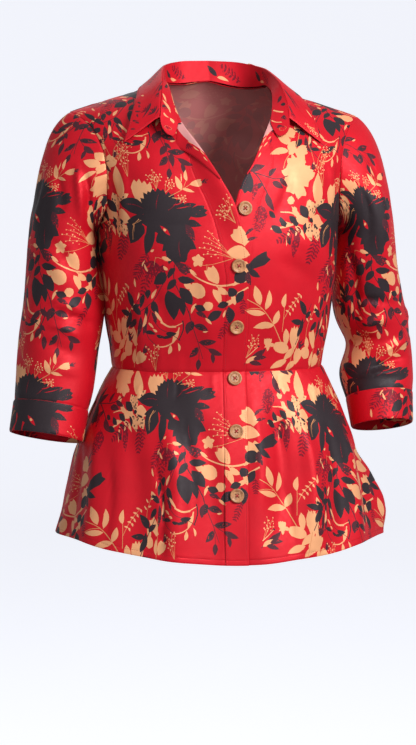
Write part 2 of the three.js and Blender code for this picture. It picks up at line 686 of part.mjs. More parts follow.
function collarLeaf() {
  const surface = (u, v) => {
    const run = mix(-1, 1, u);
    const fold = collarLine('fold', run);
    const edge = collarLine('edge', run);
    const out = edge.clone().sub(collarLine('foot', run)).setZ(0).normalize();
    const back = 1 - Math.abs(run);
    const crest = fold.clone().addScaledVector(out, mix(LEAF_CREST.end.out, LEAF_CREST.back.out, back));
    crest.z += mix(LEAF_CREST.end.up, LEAF_CREST.back.up, back);
    const hang = crest.clone().lerp(edge, LEAF_HANG.share).addScaledVector(out, LEAF_HANG.out);
    const a = crest.clone().lerp(hang, v);
    const b = hang.clone().lerp(edge, v);
    return a.lerp(b, v);
  };
  return wall('collar_leaf', surface, { columns: 30, rows: 4, thick: BAND, flip: 1, colour: BAND_RED });
}

// ---- buttons ----------------------------------------------------------------------------------
const BUTTON_SEAT = { open: 0.6, fastened: 0.4 };
const HOLE = { from: 2.1, radius: 0.8 };

// A turned button with four holes, its back at the origin, facing +Z.
function buttonGeometry() {
  const outline = new THREE.Shape();
  outline.absarc(0, 0, BUTTON_RADIUS, 0, 2 * HALF_TURN, false);
  for (let i = 0; i < 4; i += 1) {
    const turn = QUARTER * (i + 0.5);
    const hole = new THREE.Path();
    hole.absarc(HOLE.from * Math.cos(turn), HOLE.from * Math.sin(turn), HOLE.radius, 0, 2 * HALF_TURN, true);
    outline.holes.push(hole);
  }
  const plate = { depth: BUTTON_HEIGHT, bevelEnabled: false, curveSegments: 10 };
  return new THREE.ExtrudeGeometry(outline, plate);
}

function button(index) {
  const { z, x, open } = BUTTONS[index];
  const onPeplum = z < WAIST_Z;
  const side = open ? 'left' : 'right';
  const surface = (u, v) => {
    if (!onPeplum) return lifted(angleAt(x + u, z + v), z + v, side);
    const w = (WAIST_Z - z - v) / FRONT_DROP;
    return peplumLifted(peplumAngle(centreX(w) + u, w), w, side);
  };
  const normal = normalOf((u, v) => surface(4000 * u, 4000 * v), 0, 0, 1);
  const seat = PLACKET_BED[side] + (open ? BUTTON_SEAT.open : BUTTON_SEAT.fastened);
  const mesh = new THREE.Mesh(buttonGeometry(), satin(BUTTON_BROWN));
  mesh.material.roughness = 0.55;
  mesh.name = `button_${index + 1}`;
  mesh.position.copy(surface(0, 0)).addScaledVector(normal, seat);
  mesh.quaternion.setFromUnitVectors(vec(0, 0, 1), normal);
  return mesh;
}

// ---- the garment ------------------------------------------------------------------------------
const garment = new THREE.Group();
garment.add(backPanel(), collarStand(), collarLeaf(), peplumBack());
for (const side of ['right', 'left']) {
  garment.add(frontPanel(side), placket(side), turnedEdge(side), sleeve(side), cuff(side));
  garment.add(peplumFront(side), peplumPlacket(side));
}
BUTTONS.forEach((row, index) => garment.add(button(index)));

export default garment;
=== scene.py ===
"""The look of a peplum top: printed satin cloth on the form that its CAD solids keep.

Each piece of cloth is a thin shell on its own surface. The print is cut into the shell's mesh on
the flat pattern, so that its edges stay crisp, and creases are soft troughs and ridges.
Lengths are in millimetres until a mesh is made, which is in metres.
"""
import math
import random

import bpy
import numpy as np
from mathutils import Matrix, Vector
from mathutils.geometry import delaunay_2d_cdt


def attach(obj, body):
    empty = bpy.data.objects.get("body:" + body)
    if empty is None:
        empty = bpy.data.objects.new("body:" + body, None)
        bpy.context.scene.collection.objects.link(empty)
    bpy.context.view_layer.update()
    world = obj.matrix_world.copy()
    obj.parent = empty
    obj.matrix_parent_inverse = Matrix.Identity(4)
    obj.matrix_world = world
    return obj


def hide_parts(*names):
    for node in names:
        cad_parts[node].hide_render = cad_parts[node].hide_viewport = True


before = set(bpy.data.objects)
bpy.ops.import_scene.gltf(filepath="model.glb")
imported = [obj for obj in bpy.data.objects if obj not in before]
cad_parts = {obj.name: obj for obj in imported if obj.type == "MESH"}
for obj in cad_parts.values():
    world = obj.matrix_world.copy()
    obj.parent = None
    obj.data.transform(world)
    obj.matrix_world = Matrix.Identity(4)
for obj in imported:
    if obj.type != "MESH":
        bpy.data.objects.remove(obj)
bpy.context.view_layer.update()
MM = 0.001

# ---- tables -------------------------------------------------------------------------------------
def table(columns, *rows):
    return {name: np.array([row[i] for row in rows], float) for i, name in enumerate(columns.split())}


# Sizes in millimetres, the same as in the part's own source, but for the seams: the solids keep
# 0.3 mm apart there, and the cloth meets.
CLOTH, BAND, SEAM = 1.2, 1.6, 0.08
WAIST_Z, UNDERARM_Z = -363.0, -178.0
NECK_HALF, NECK_Z, NECK_DIP, LEFT_DROP = 66.0, 0.0, 12.6, 5.0
RIDGE_Y, CHEST_FALL, BLADE_FALL, RIDGE_SOFT = 8.0, 130.0, 75.0, 8.0
SQUARE, LAP_LIFT = 0.12, 2.6
CENTRE_X, CENTRE_DRIFT, PLACKET_HALF = 3.0, -6.0, 14.3
CUFF_HEIGHT, CUFF_EASE = 40.0, 0.008
SIGN = {"right": -1, "left": 1}
SLOPE = {"right": 0.315, "left": 0.31}
TIP = {"right": 188.0, "left": 184.0}
TURN_SPACE = 0.8
PLACKET_TOP_Z = {"right": -70.0, "left": -71.0}
PLACKET_BED = {"right": 0.3, "left": 0.0}
PLACKET_END = {"right": 1.0, "left": 0.985}
FOLD_SINK = 2.5

TORSO = table(
    "z half front back",
    (-380, 134, 98, 87), (-362, 136, 100, 88), (-335, 139.5, 106, 92), (-300, 145, 115, 99),
    (-255, 150, 123, 106), (-215, 153.5, 127, 111), (-178, 155, 125, 114), (-130, 163, 119, 115),
    (-85, 180, 110, 110), (-40, 202, 100, 103), (20, 214, 90, 94))
PEPLUM = table(
    "v half front back",
    (0, 136, 100, 88), (0.08, 145.5, 106, 96), (0.2, 158, 115, 108), (0.33, 169.5, 122, 120),
    (0.45, 179, 129, 131), (0.58, 186.5, 135, 140), (0.72, 193.5, 141, 147),
    (0.86, 201.5, 147, 154), (1, 211.5, 153, 161))
PEPLUM_DROP = table(
    "angle drop",
    (-180, 226), (-130, 222), (-90, 212), (-62, 210), (-42, 218), (-20, 229), (0, 235),
    (20, 231), (45, 221), (65, 219), (95, 225), (180, 226))
PEPLUM_FOLDS = table(
    "angle spread rise start tuck",
    (-152, 17, 10, 0.2, 0), (-118, 15, 8, 0.3, 0), (-84, 13, 3, 0.45, 0), (-50, 15, 5, 0.35, 0),
    (-20, 9, 6, 0.5, 0), (9, 9, 5, 0.25, 0), (34, 13, 6, 0.3, 0), (88, 16, 19, 0.5, 0.5),
    (120, 14, 7, 0.3, 0), (150, 16, 10, 0.2, 0), (180, 11, 4, 0.4, 0))
ARMHOLE = table(
    "share front back",
    (0, 155, 155), (0.05, 152.8, 153.6), (0.18, 149.5, 151), (0.44, 150, 152), (0.65, 156, 158),
    (0.8, 165.5, 167), (0.91, 176.5, 177.5), (1, 188, 188))
OPENING = table(
    "z rightEdge rightSeam leftEdge leftSeam",
    (-245, 17.3, -11.3, -11.3, 17.3), (-200, 10, -19.5, -8, 20.5), (-175, 5, -26, -4.5, 25),
    (-150, -3, -35.5, 1.5, 31.5), (-125, -16.5, -47, 10.7, 43), (-105, -28.5, -53, 23.5, 50),
    (-86, -40, -54, 33.5, 50.5), (-68, -51.5, -54, 43, 46), (-50, -60.5, -60.5, 53, 53),
    (-30, -65, -65, 61.5, 61.5), (2, -66, -66, 66, 66))
TURNED = {
    "right": table("z width", (-43, 0.6), (-52, 4.5), (-61, 10), (-70, 17), (-82, 24), (-97, 14.5),
                   (-113, 7), (-124, 2)),
    "left": table("z width", (-49, 0.6), (-55, 3), (-62, 9), (-70, 10.5), (-79, 12.5), (-94, 6),
                  (-108, 3), (-118, 1.5)),
}
COLLAR = {
    "foot": table("run x y z", (0, 0, 58.5, 4.5), (0.2, 40, 50.5, -1.5), (0.38, 61.5, 28, -1.8),
                  (0.52, 66.5, 0, -2), (0.68, 67.5, -40, -13.5), (0.84, 65, -63.5, -33),
                  (1, 61.5, -81, -54)),
    "fold": table("run x y z", (0, 0, 67, 30.5), (0.2, 40, 58, 28.5), (0.38, 62, 31, 21.5),
                  (0.52, 69.5, 0, 13.5), (0.68, 76.5, -43, -4), (0.84, 81.5, -70, -27),
                  (1, 84, -84, -48)),
    "edge": table("run x y z", (0, 0, 92, -14), (0.2, 50, 87, -15), (0.38, 87, 50, -10),
                  (0.52, 100.5, 6, -9.5), (0.68, 110, -41, -24), (0.84, 120, -67, -51),
                  (1, 128.5, -78, -78)),
}
TILT_SHARE = {"foot": 1.0, "fold": 0.1, "edge": 0.6}
COLLAR_SHIFT = {"right": -3.2, "left": -8.5}
STAND_TAIL = {"run": 0.21, "side": -3.0, "forward": -12.0, "down": -19.0, "low": 0.3, "high": 0.62}
SLEEVES = {
    "right": table(
        "k x y z out in front back",
        (0, -199, 5, -192, 41, 41, 57, 58), (0.2, -198, 5, -240, 47.5, 44.5, 55, 57),
        (0.4, -200, 5, -290, 50.5, 51, 53, 55), (0.6, -205, 3, -340, 52, 50, 51.5, 53),
        (0.8, -211, -5, -385, 51, 49.5, 49, 50), (1, -216, -11, -411, 48.5, 47, 46.5, 47)),
    "left": table(
        "k x y z out in front back",
        (0, 197, 6, -192, 37.5, 39, 57, 58), (0.2, 199, 14, -240, 43.5, 43, 54, 56),
        (0.4, 207, 24, -290, 47, 45, 51, 54), (0.6, 219.5, 32, -334, 47, 38.5, 50, 52),
        (0.8, 221, 25, -376, 47.5, 50.5, 48, 49), (1, 220, 12, -407, 44.5, 44, 45, 46)),
}
CUFFS = {"right": (0.19, 0.21, 0.985), "left": (0.03, 0.32, 0.92)}  # lean, forward, taper

# ---- mathematics --------------------------------------------------------------------------------
QUARTER, HALF_TURN = math.pi / 2, math.pi


def smooth(a, b, x):
    t = np.clip((x - a) / (b - a), 0, 1)
    return t * t * (3 - 2 * t)


def mix(a, b, t):
    return a + (b - a) * t


def point(x, y, z):
    return np.stack(np.broadcast_arrays(x, y, z), -1).astype(float)


def unit(v):
    return v / np.maximum(np.linalg.norm(v, axis=-1, keepdims=True), 1e-9)


def through(tab, key, column, at):
    """A smooth curve through one column of a table, along its key column."""
    x, y = tab[key], tab[column]
    if x[0] > x[-1]:
        x, y = x[::-1], y[::-1]
    slope = np.empty_like(y)
    slope[1:-1] = (y[2:] - y[:-2]) / (x[2:] - x[:-2])
    slope[0], slope[-1] = (y[1] - y[0]) / (x[1] - x[0]), (y[-1] - y[-2]) / (x[-1] - x[-2])
    at = np.clip(np.asarray(at, float), x[0], x[-1])
    i = np.clip(np.searchsorted(x, at, side="right") - 1, 0, len(x) - 2)
    span = x[i + 1] - x[i]
    t = (at - x[i]) / span
    t2, t3 = t * t, t * t * t
    return (y[i] * (2 * t3 - 3 * t2 + 1) + slope[i] * span * (t3 - 2 * t2 + t)
            + y[i + 1] * (3 * t2 - 2 * t3) + slope[i + 1] * span * (t3 - t2))


# ---- the form of the worn garment ---------------------------------------------------------------
SHARE_STEPS = 12
NECK_SPAN = (-60, 60)  # across, where one shoulder's height turns into the other's
LAP_SPAN = (-62, -14)  # and where the over front rises over the under one


def across_share(a):
    return np.sin(a) * (1 + SQUARE * np.cos(a) ** 2)


def along_share(a):
    return np.cos(a) * (1 + SQUARE * np.sin(a) ** 2)


def share_angle(share):
    """The angle from 0 to a quarter turn whose across_share is the given one."""
    t = np.clip(share, 0, 1) / (1 + SQUARE)
    for _ in range(SHARE_STEPS):
        t = t - ((1 + SQUARE) * t - SQUARE * t**3 - share) / (1 + SQUARE - 3 * SQUARE * t * t)
        t = np.clip(t, 0, 1)
    return np.arcsin(t)


def ridge_z(x):
    reach = np.hypot(x, RIDGE_SOFT) - math.hypot(NECK_HALF, RIDGE_SOFT)
    slope = np.where(x < 0, SLOPE["right"], SLOPE["left"])
    return NECK_Z - LEFT_DROP * smooth(*NECK_SPAN, x) - slope * reach


def torso(a, z):
    x = through(TORSO, "z", "half", z) * across_share(a)
    along = along_share(a)
    depth = np.where(along > 0, through(TORSO, "z", "front", z), through(TORSO, "z", "back", z))
    fall = np.maximum(0, (ridge_z(x) - z) / np.where(along > 0, CHEST_FALL, BLADE_FALL))
    rounding = np.sqrt(np.maximum(0, 1 - (1 - np.minimum(fall, 1)) ** 2))
    return point(x, RIDGE_Y + (-depth * along - RIDGE_Y) * rounding, z)


def angle_at(x, z):
    return np.sign(x) * share_angle(np.minimum(1, np.abs(x) / through(TORSO, "z", "half", z)))


def outward(a):
    return point(np.sin(a), -np.cos(a), 0)


def lap_lift(x):
    return LAP_LIFT * smooth(*LAP_SPAN, x)


def opening_x(column, z):
    return through(OPENING, "z", column, z)


def share_z(x, share):
    return UNDERARM_Z + (ridge_z(x) - UNDERARM_Z) * share


def armhole_x(side, face, share):
    scale = TIP[side] / ARMHOLE["front"][-1]
    return SIGN[side] * through(ARMHOLE, "share", face, share) * mix(1, scale, smooth(0, 1, share))


def armhole_angle(side, face, share):
    """Angle, from 0 to a quarter turn, at which a bodice piece reaches the armhole."""
    x = armhole_x(side, face, share)
    angle = share_angle(np.minimum(1, np.abs(x) / through(TORSO, "z", "half", share_z(x, share))))
    return np.where(share <= 0, QUARTER, angle)


def armhole_point(side, face, share):
    sign = SIGN[side]
    x = armhole_x(side, face, share)
    angle = armhole_angle(side, face, share)
    angle = sign * (angle if face == "front" else HALF_TURN - angle)
    return torso(np.where(share <= 0, sign * QUARTER, angle), share_z(x, share))


def lifted(a, z, side):
    p = torso(a, z)
    return p + outward(a) * lap_lift(p[..., :1]) if side == "right" else p


# ---- surfaces of the pieces, u across and v along, both 0 to 1 ----------------------------------
SIDE_GAP, RIDGE_GAP, LOWER_ROWS, CAP_SHARE = SEAM / 240, 2e-3, 0.42, 0.42
SQUARE_UP, AXIS_STEP, ARMHOLE_GAP, BLUNT = 0.86, 0.04, 0.7, 0.985
CHEST_X, EDGE_SETTLE, SETTLE = 120, 4, 6  # where a level is first looked for, and steps until it settles
FRONT_DROP = float(through(PEPLUM_DROP, "angle", "drop", 0))
PEPLUM_TOP = SEAM / 2 / FRONT_DROP
LEAVE = {"out": (0.92, 0.86), "down": (0.4, 0.52), "start": (0.85, 0.75), "end": (0.9, 1.25)}


def bodice_share(v):
    w = np.clip((v - LOWER_ROWS) / (1 - LOWER_ROWS), 0, 1 - RIDGE_GAP)
    return np.sin(w * QUARTER)


def front(side):
    sign = SIGN[side]

    def surface(u, v):
        share = bodice_share(v)
        low = mix(WAIST_Z + SEAM / 2, UNDERARM_Z, v / LOWER_ROWS)
        low_edge = angle_at(opening_x(side + "Seam", low) + sign * SEAM / 2, low)
        low_angle = mix(sign * (QUARTER - SIDE_GAP), low_edge, u)
        inner = share_z(sign * NECK_HALF, share)
        for _ in range(EDGE_SETTLE):
            inner = share_z(opening_x(side + "Seam", inner), share)
        edge = angle_at(opening_x(side + "Seam", inner) + sign * SEAM / 2, inner)
        start = sign * np.minimum(QUARTER - SIDE_GAP, armhole_angle(side, "front", share))
        high_angle = mix(start, edge, u)
        high = share_z(sign * CHEST_X, share)
        for _ in range(SETTLE):
            high = share_z(through(TORSO, "z", "half", high) * across_share(high_angle), share)
        below = v < LOWER_ROWS
        return lifted(np.where(below, low_angle, high_angle), np.where(below, low, high), side)

    return surface


def back(u, v):
    share = bodice_share(v)
    sign = np.where(u < 0.5, 1, -1)
    away = np.abs(2 * u - 1)
    low = mix(WAIST_Z + SEAM / 2, UNDERARM_Z, v / LOWER_ROWS)
    low_angle = sign * mix(HALF_TURN, QUARTER + SIDE_GAP, away)
    edge = np.where(u < 0.5, armhole_angle("left", "back", share), armhole_angle("right", "back", share))
    high_angle = sign * mix(HALF_TURN, HALF_TURN - np.minimum(QUARTER - SIDE_GAP, edge), away)
    high = share_z(0, share)
    for _ in range(SETTLE):
        x = through(TORSO, "z", "half", high) * across_share(high_angle)
        top = ridge_z(x) - NECK_DIP * np.maximum(0, 1 - (x / NECK_HALF) ** 2)
        high = UNDERARM_Z + (top - UNDERARM_Z) * share
    below = v < LOWER_ROWS
    return torso(np.where(below, low_angle, high_angle), np.where(below, low, high))


def placket(side):
    sign = SIGN[side]

    def surface(u, v):
        z = mix(WAIST_Z + SEAM / 2, PLACKET_TOP_Z[side], v)
        start = opening_x(side + "Seam", z) - sign * SEAM / 2
        return lifted(angle_at(mix(start, opening_x(side + "Edge", z), u), z), z, side)

    return surface


def turned_edge(side):
    sign, rows = SIGN[side], TURNED[side]

    def surface(u, v):
        z = mix(rows["z"][-1], rows["z"][0], v)
        x = opening_x(side + "Edge", z) + sign * through(rows, "z", "width", z) * u
        return lifted(angle_at(x, z), z, side)

    return surface


# Shares of the peplum's depth at which a fold is full, turns in again, and the rest sinks in.
TUCKED_FULL, FOLD_FULL, TUCK_FROM, SINK_FROM = 0.82, 1.05, 0.86, 0.3
FOLD_SHARP = 1.6


def fold_rise(a, v):
    rise = 0
    for angle, spread, height, start, tuck in zip(*PEPLUM_FOLDS.values()):
        away = np.abs(a - math.radians(angle))
        away = np.minimum(away, 2 * HALF_TURN - away)
        grow = smooth(start, TUCKED_FULL if tuck > 0 else FOLD_FULL, v) * (1 - tuck * smooth(TUCK_FROM, 1, v))
        rise = rise + height * grow * np.exp(-((away / math.radians(spread)) ** 2) * FOLD_SHARP)
    return rise


def peplum_point(a, v):
    along = along_share(a)
    turn = np.degrees(np.where(a > HALF_TURN, a - 2 * HALF_TURN, a))
    drop = through(PEPLUM_DROP, "angle", "drop", turn)
    depth = np.where(along > 0, through(PEPLUM, "v", "front", v), through(PEPLUM, "v", "back", v))
    p = point(through(PEPLUM, "v", "half", v) * across_share(a), -depth * along, WAIST_Z - drop * v)
    return p + outward(a) * (fold_rise(a, v) - FOLD_SINK * smooth(SINK_FROM, 1, v))[..., None]


def peplum_angle(x, v):
    return np.arcsin(x / through(PEPLUM, "v", "half", v) / (1 + SQUARE))


def peplum_lifted(a, v, side):
    p = peplum_point(a, v)
    return p + outward(a) * lap_lift(p[..., :1]) if side == "right" else p


def centre_x(v):
    return CENTRE_X + CENTRE_DRIFT * v


def peplum_front(side):
    sign = SIGN[side]

    def surface(u, v):
        w = mix(PEPLUM_TOP, 1, v)
        a = peplum_angle(centre_x(w) + sign * (PLACKET_HALF + SEAM / 2), w)
        return peplum_lifted(mix(sign * (QUARTER - SIDE_GAP), a, u), w, side)

    return surface


def peplum_back(u, v):
    a = mix(QUARTER + SIDE_GAP, 2 * HALF_TURN - QUARTER - SIDE_GAP, u)
    return peplum_point(a, mix(PEPLUM_TOP, 1, v))


def peplum_placket(side):
    sign = SIGN[side]

    def surface(u, v):
        w = mix(PEPLUM_TOP, PLACKET_END[side], v)
        x = centre_x(w) + sign * mix(PLACKET_HALF - SEAM / 2, -PLACKET_HALF, u)
        return peplum_lifted(peplum_angle(x, w), w, side)

    return surface


def ring_point(side, centre, axis, turn, reach):
    def square(v):
        return unit(v - axis * np.sum(v * axis, -1, keepdims=True))

    c, s = np.cos(turn), np.sin(turn)
    out = square(np.broadcast_to([SIGN[side], 0.0, 0.0], axis.shape))
    ahead = square(np.broadcast_to([0.0, -1.0, 0.0], axis.shape))
    across = c * np.where(c > 0, reach["out"], reach["in"])
    along = s * np.where(s > 0, reach["front"], reach["back"])
    return centre + out * across[..., None] + ahead * along[..., None]


def cuff_axis(side):
    lean, forward, _ = CUFFS[side]
    return unit(np.array([SIGN[side] * lean, -forward, -1.0]))


def sleeve_ring(side, k, turn):
    tab = SLEEVES[side]

    def centre(at):
        return point(*[through(tab, "k", c, at) for c in "xyz"])

    axis = unit(centre(np.minimum(1, k + AXIS_STEP)) - centre(np.maximum(0, k - AXIS_STEP)))
    axis = unit(mix(axis, cuff_axis(side), smooth(SQUARE_UP, 1, k)[..., None]))
    reach = {c: through(tab, "k", c, k) for c in ("out", "in", "front", "back")}
    return ring_point(side, centre(k), axis, turn, reach)


def sleeve_head(side, w, turn):
    share = (1 + np.cos(turn)) / 2
    start = np.where((np.sin(turn) >= 0)[..., None],
                     armhole_point(side, "front", share), armhole_point(side, "back", share))

    def between(key):
        return mix(LEAVE[key][0], LEAVE[key][1], share)

    leave = unit(point(SIGN[side] * between("out"), 0, -between("down")))
    start = start + leave * ARMHOLE_GAP
    zero = np.zeros_like(turn)
    end = sleeve_ring(side, zero, turn)
    down = unit(sleeve_ring(side, zero + 0.05, turn) - end)
    chord = np.linalg.norm(end - start, axis=-1)
    w2, w3 = w * w, w * w * w
    return (start * (2 * w3 - 3 * w2 + 1)[..., None]
            + leave * (chord * between("start") * (w3 - 2 * w2 + w))[..., None]
            + end * (3 * w2 - 2 * w3)[..., None]
            + down * (chord * between("end") * (w3 - w2))[..., None])


def sleeve(side):
    def surface(u, v):
        turn = u * 2 * HALF_TURN
        head = sleeve_head(side, np.clip(v / CAP_SHARE, 0, 1), turn)
        ring = sleeve_ring(side, np.clip((v - CAP_SHARE) / (1 - CAP_SHARE), 0, 1), turn)
        return np.where((v < CAP_SHARE)[..., None], head, ring)

    return surface


def cuff(side):
    taper = CUFFS[side][2]
    axis = cuff_axis(side)
    end = {c: SLEEVES[side][c][-1] for c in SLEEVES[side]}

    def surface(u, v):
        grow = mix(1, taper, v) + CUFF_EASE
        centre = point(end["x"], end["y"], end["z"]) + axis * (SEAM + CUFF_HEIGHT * v)[..., None]
        reach = {c: end[c] * grow for c in ("out", "in", "front", "back")}
        return ring_point(side, centre, np.broadcast_to(axis, centre.shape), u * 2 * HALF_TURN, reach)

    return surface


def collar_line(line, run):
    at = np.abs(run)
    x, y, z = [through(COLLAR[line], "run", c, at) for c in "xyz"]
    side = np.sign(run) * x
    tilt = TILT_SHARE[line] * (smooth(*NECK_SPAN, side) - 0.5) * np.cos(QUARTER * at)
    shift = np.where(side < 0, COLLAR_SHIFT["right"], COLLAR_SHIFT["left"]) * at * at
    return point(side + shift, y, z - LEFT_DROP * tilt)


def collar_stand(u, v):
    tail = STAND_TAIL
    run = mix(-1 - tail["run"], 1 + tail["run"], u)
    beyond = np.maximum(0, np.abs(run) - 1) / tail["run"]
    shut = np.sign(run) * np.minimum(1, np.abs(run))
    shift = point(-np.sign(run) * tail["side"], tail["forward"], tail["down"]) * beyond[..., None]
    foot, fold = collar_line("foot", shut) + shift, collar_line("fold", shut) + shift
    rounding = (1 - np.sqrt(1 - np.minimum(BLUNT, beyond) ** 2))[..., None]
    low = mix(foot, fold, rounding * tail["low"])
    high = mix(fold, foot, rounding * tail["high"])
    return mix(low, high, v[..., None])


LEAF_ROLL, LEAF_HANG = 2.6, 0.35  # how high the leaf rolls over the fold, and where it turns down
ROLL_TOP, ROLL_END = 0.07, 0.7    # shares of its height where the roll is highest, and where it ends
LEAF_IN, LEAF_OUT = 0.9, 2.5      # how far it starts behind the fold, and bows out below it


def collar_leaf(u, v):
    run = mix(-1.0, 1.0, u)
    fold, edge = collar_line("fold", run), collar_line("edge", run)
    out = unit((edge - collar_line("foot", run)) * [1, 1, 0])
    start = fold - out * LEAF_IN
    hang = mix(fold, edge, LEAF_HANG) + out * LEAF_OUT
    t = v[..., None]
    roll = np.sqrt(1 - (1 - np.minimum(t / ROLL_TOP, 1)) ** 2) * (1 - smooth(ROLL_TOP, ROLL_END, t))
    return mix(mix(start, hang, t), mix(hang, edge, t), t) + np.array([0, 0, LEAF_ROLL]) * roll


# ---- cloth: a surface and the flat pattern it was cut from --------------------------------------
WAIST_RADIUS = 363.0  # inner radius of the circular cut of the peplum
CELLS, NODE_STEP = (60, 80), 6  # of the grid that keeps the flat pattern, and of its nodes looked at first
BATCH, LOCATE_STEPS, LONGEST_STEP = 4000, 12, 0.25  # places at a time, and the steps toward each


class Cloth:
    """A piece of cloth: its surface over u and v, and the flat pattern that it was cut from.

    across is the sense in which the pattern runs to the viewer's right as u grows, `middle` the u
    from which it is measured and `offset` its place there; level is the v at which its height is
    0 and up the sense in which it rises with v. A sector is cut as part of a ring, and a plain
    band as a straight strip.
    """

    def __init__(self, surface, flip, across, middle, level, up, offset=None, sector=False, plain=False):
        self.surface, self.flip = surface, flip
        self.cells = np.array(CELLS)
        us, vs = (np.linspace(0, 1, n + 1) for n in self.cells)
        u, v = np.meshgrid(us, vs, indexing="ij")
        grid = surface(u, v)
        steps = np.linalg.norm(np.diff(grid, axis=0), axis=-1)
        run = np.vstack([np.zeros((1, len(vs))), np.cumsum(steps, axis=0)])
        start = np.array([np.interp(middle, us, run[:, j]) for j in range(len(vs))])
        p = across * (run - start) + (0 if offset is None else offset(vs))
        rise = np.linalg.norm(np.diff(grid, axis=1), axis=-1)
        lean = np.zeros_like(rise) if sector else np.diff(p, axis=1)
        steps = np.sqrt(np.maximum(rise**2 - lean**2, (0.3 * rise) ** 2))
        q = np.hstack([np.zeros((len(us), 1)), np.cumsum(steps, axis=1)])
        q = up * (q - np.array([[np.interp(level, vs, row)] for row in q]))
        if plain:
            p, q = across * (u - middle) * run[-1].mean(), up * (v - level) * rise.sum(axis=1).mean()
        if sector:
            radius = WAIST_RADIUS - q
            p, q = radius * np.sin(p / radius), WAIST_RADIUS - radius * np.cos(p / radius)
        self.flat_grid = np.stack([p, q], -1)
        self.size = np.array([run[-1].mean(), rise.sum(axis=1).mean()])

    def flat(self, uv, slopes=False):
        """The place on the flat pattern of each (u, v), and its slopes along u and v."""
        scaled = uv * self.cells
        i = np.clip(np.floor(scaled).astype(int), 0, self.cells - 1)
        f = (scaled - i)[..., None]
        fu, fv = f[:, 0], f[:, 1]
        g = self.flat_grid
        a, b = g[i[:, 0], i[:, 1]], g[i[:, 0] + 1, i[:, 1]]
        c, d = g[i[:, 0], i[:, 1] + 1], g[i[:, 0] + 1, i[:, 1] + 1]
        place = a * (1 - fu) * (1 - fv) + b * fu * (1 - fv) + c * (1 - fu) * fv + d * fu * fv
        if not slopes:
            return place
        along_u = ((b - a) * (1 - fv) + (d - c) * fv) * self.cells[0]
        along_v = ((c - a) * (1 - fu) + (d - b) * fu) * self.cells[1]
        return place, along_u, along_v

    def locate(self, places):
        """The (u, v) of each place on the flat pattern, also a little outside the piece."""
        nodes = self.flat_grid[::NODE_STEP, ::NODE_STEP]
        i, j = np.meshgrid(np.arange(nodes.shape[0]), np.arange(nodes.shape[1]), indexing="ij")
        corners = np.stack([i.ravel(), j.ravel()], -1) * NODE_STEP / self.cells
        nodes = nodes.reshape(-1, 2)
        uv = np.empty_like(places)
        for k in range(0, len(places), BATCH):
            part = places[k:k + BATCH]
            away = ((part[:, None] - nodes[None]) ** 2).sum(-1)
            uv[k:k + BATCH] = corners[away.argmin(1)]
        first = uv
        for _ in range(LOCATE_STEPS):
            uv = uv + np.clip(self.change(uv, places), -LONGEST_STEP, LONGEST_STEP)
        # a place too far outside goes straight out from the nearest part of the piece
        lost = np.linalg.norm(places - self.flat(uv), axis=1) > 1
        uv[lost] = first[lost] + self.change(first[lost], places[lost])
        return uv

    def change(self, uv, places):
        """The step in (u, v) toward each place, by the slopes where it now is."""
        at, du, dv = self.flat(uv, slopes=True)
        miss = places - at
        det = du[:, 0] * dv[:, 1] - du[:, 1] * dv[:, 0]
        det = np.where(np.abs(det) < 1e-6, 1e-6, det)
        return np.stack([(miss[:, 0] * dv[:, 1] - miss[:, 1] * dv[:, 0]) / det,
                         (du[:, 0] * miss[:, 1] - du[:, 1] * miss[:, 0]) / det], -1)


# ---- the printed motifs, in millimetres on the flat cloth ---------------------------------------
def srgb(*c):
    return [((x / 255 + 0.055) / 1.055) ** 2.4 if x > 10 else x / 255 / 12.92 for x in c]


INKS = {
    "black": srgb(46, 37, 41), "soft": srgb(74, 34, 42), "maroon": srgb(112, 16, 34),
    "tan": srgb(224, 158, 112), "sand": srgb(204, 136, 88), "red": srgb(196, 14, 32),
    "pale": srgb(208, 143, 140),
}
INK_NAMES = list(INKS)
PETAL_SIDE = ((0.18, 0.55), (0.4, 0.9), (0.62, 1.0), (0.8, 0.93))  # share along, share of half the width
LEAF_STEPS, SHORT_LEAF, SHORT_STEPS = 7, 9, 4
TWIG, BERRY_SIDES = (0.55, 0.35), ((0.5, 1), (0.62, -1), (0.74, 1), (0.87, -1), (1, 0.15))


def ray(x, y, turn, reach):
    """The place that far from x, y in a direction in radians."""
    return x + reach * math.cos(turn), y + reach * math.sin(turn)


def fan(turn, spread, k, count):
    """Direction, in radians, of the k-th of a fan of strokes."""
    return math.radians(turn + spread * (2 * k / max(1, count - 1) - 1))


def each(draw):
    """The method that draws a row of such motifs in one ink."""
    def rows(self, ink, *places, **look):
        for place in places:
            draw(self, ink, *place, **look)
    return rows


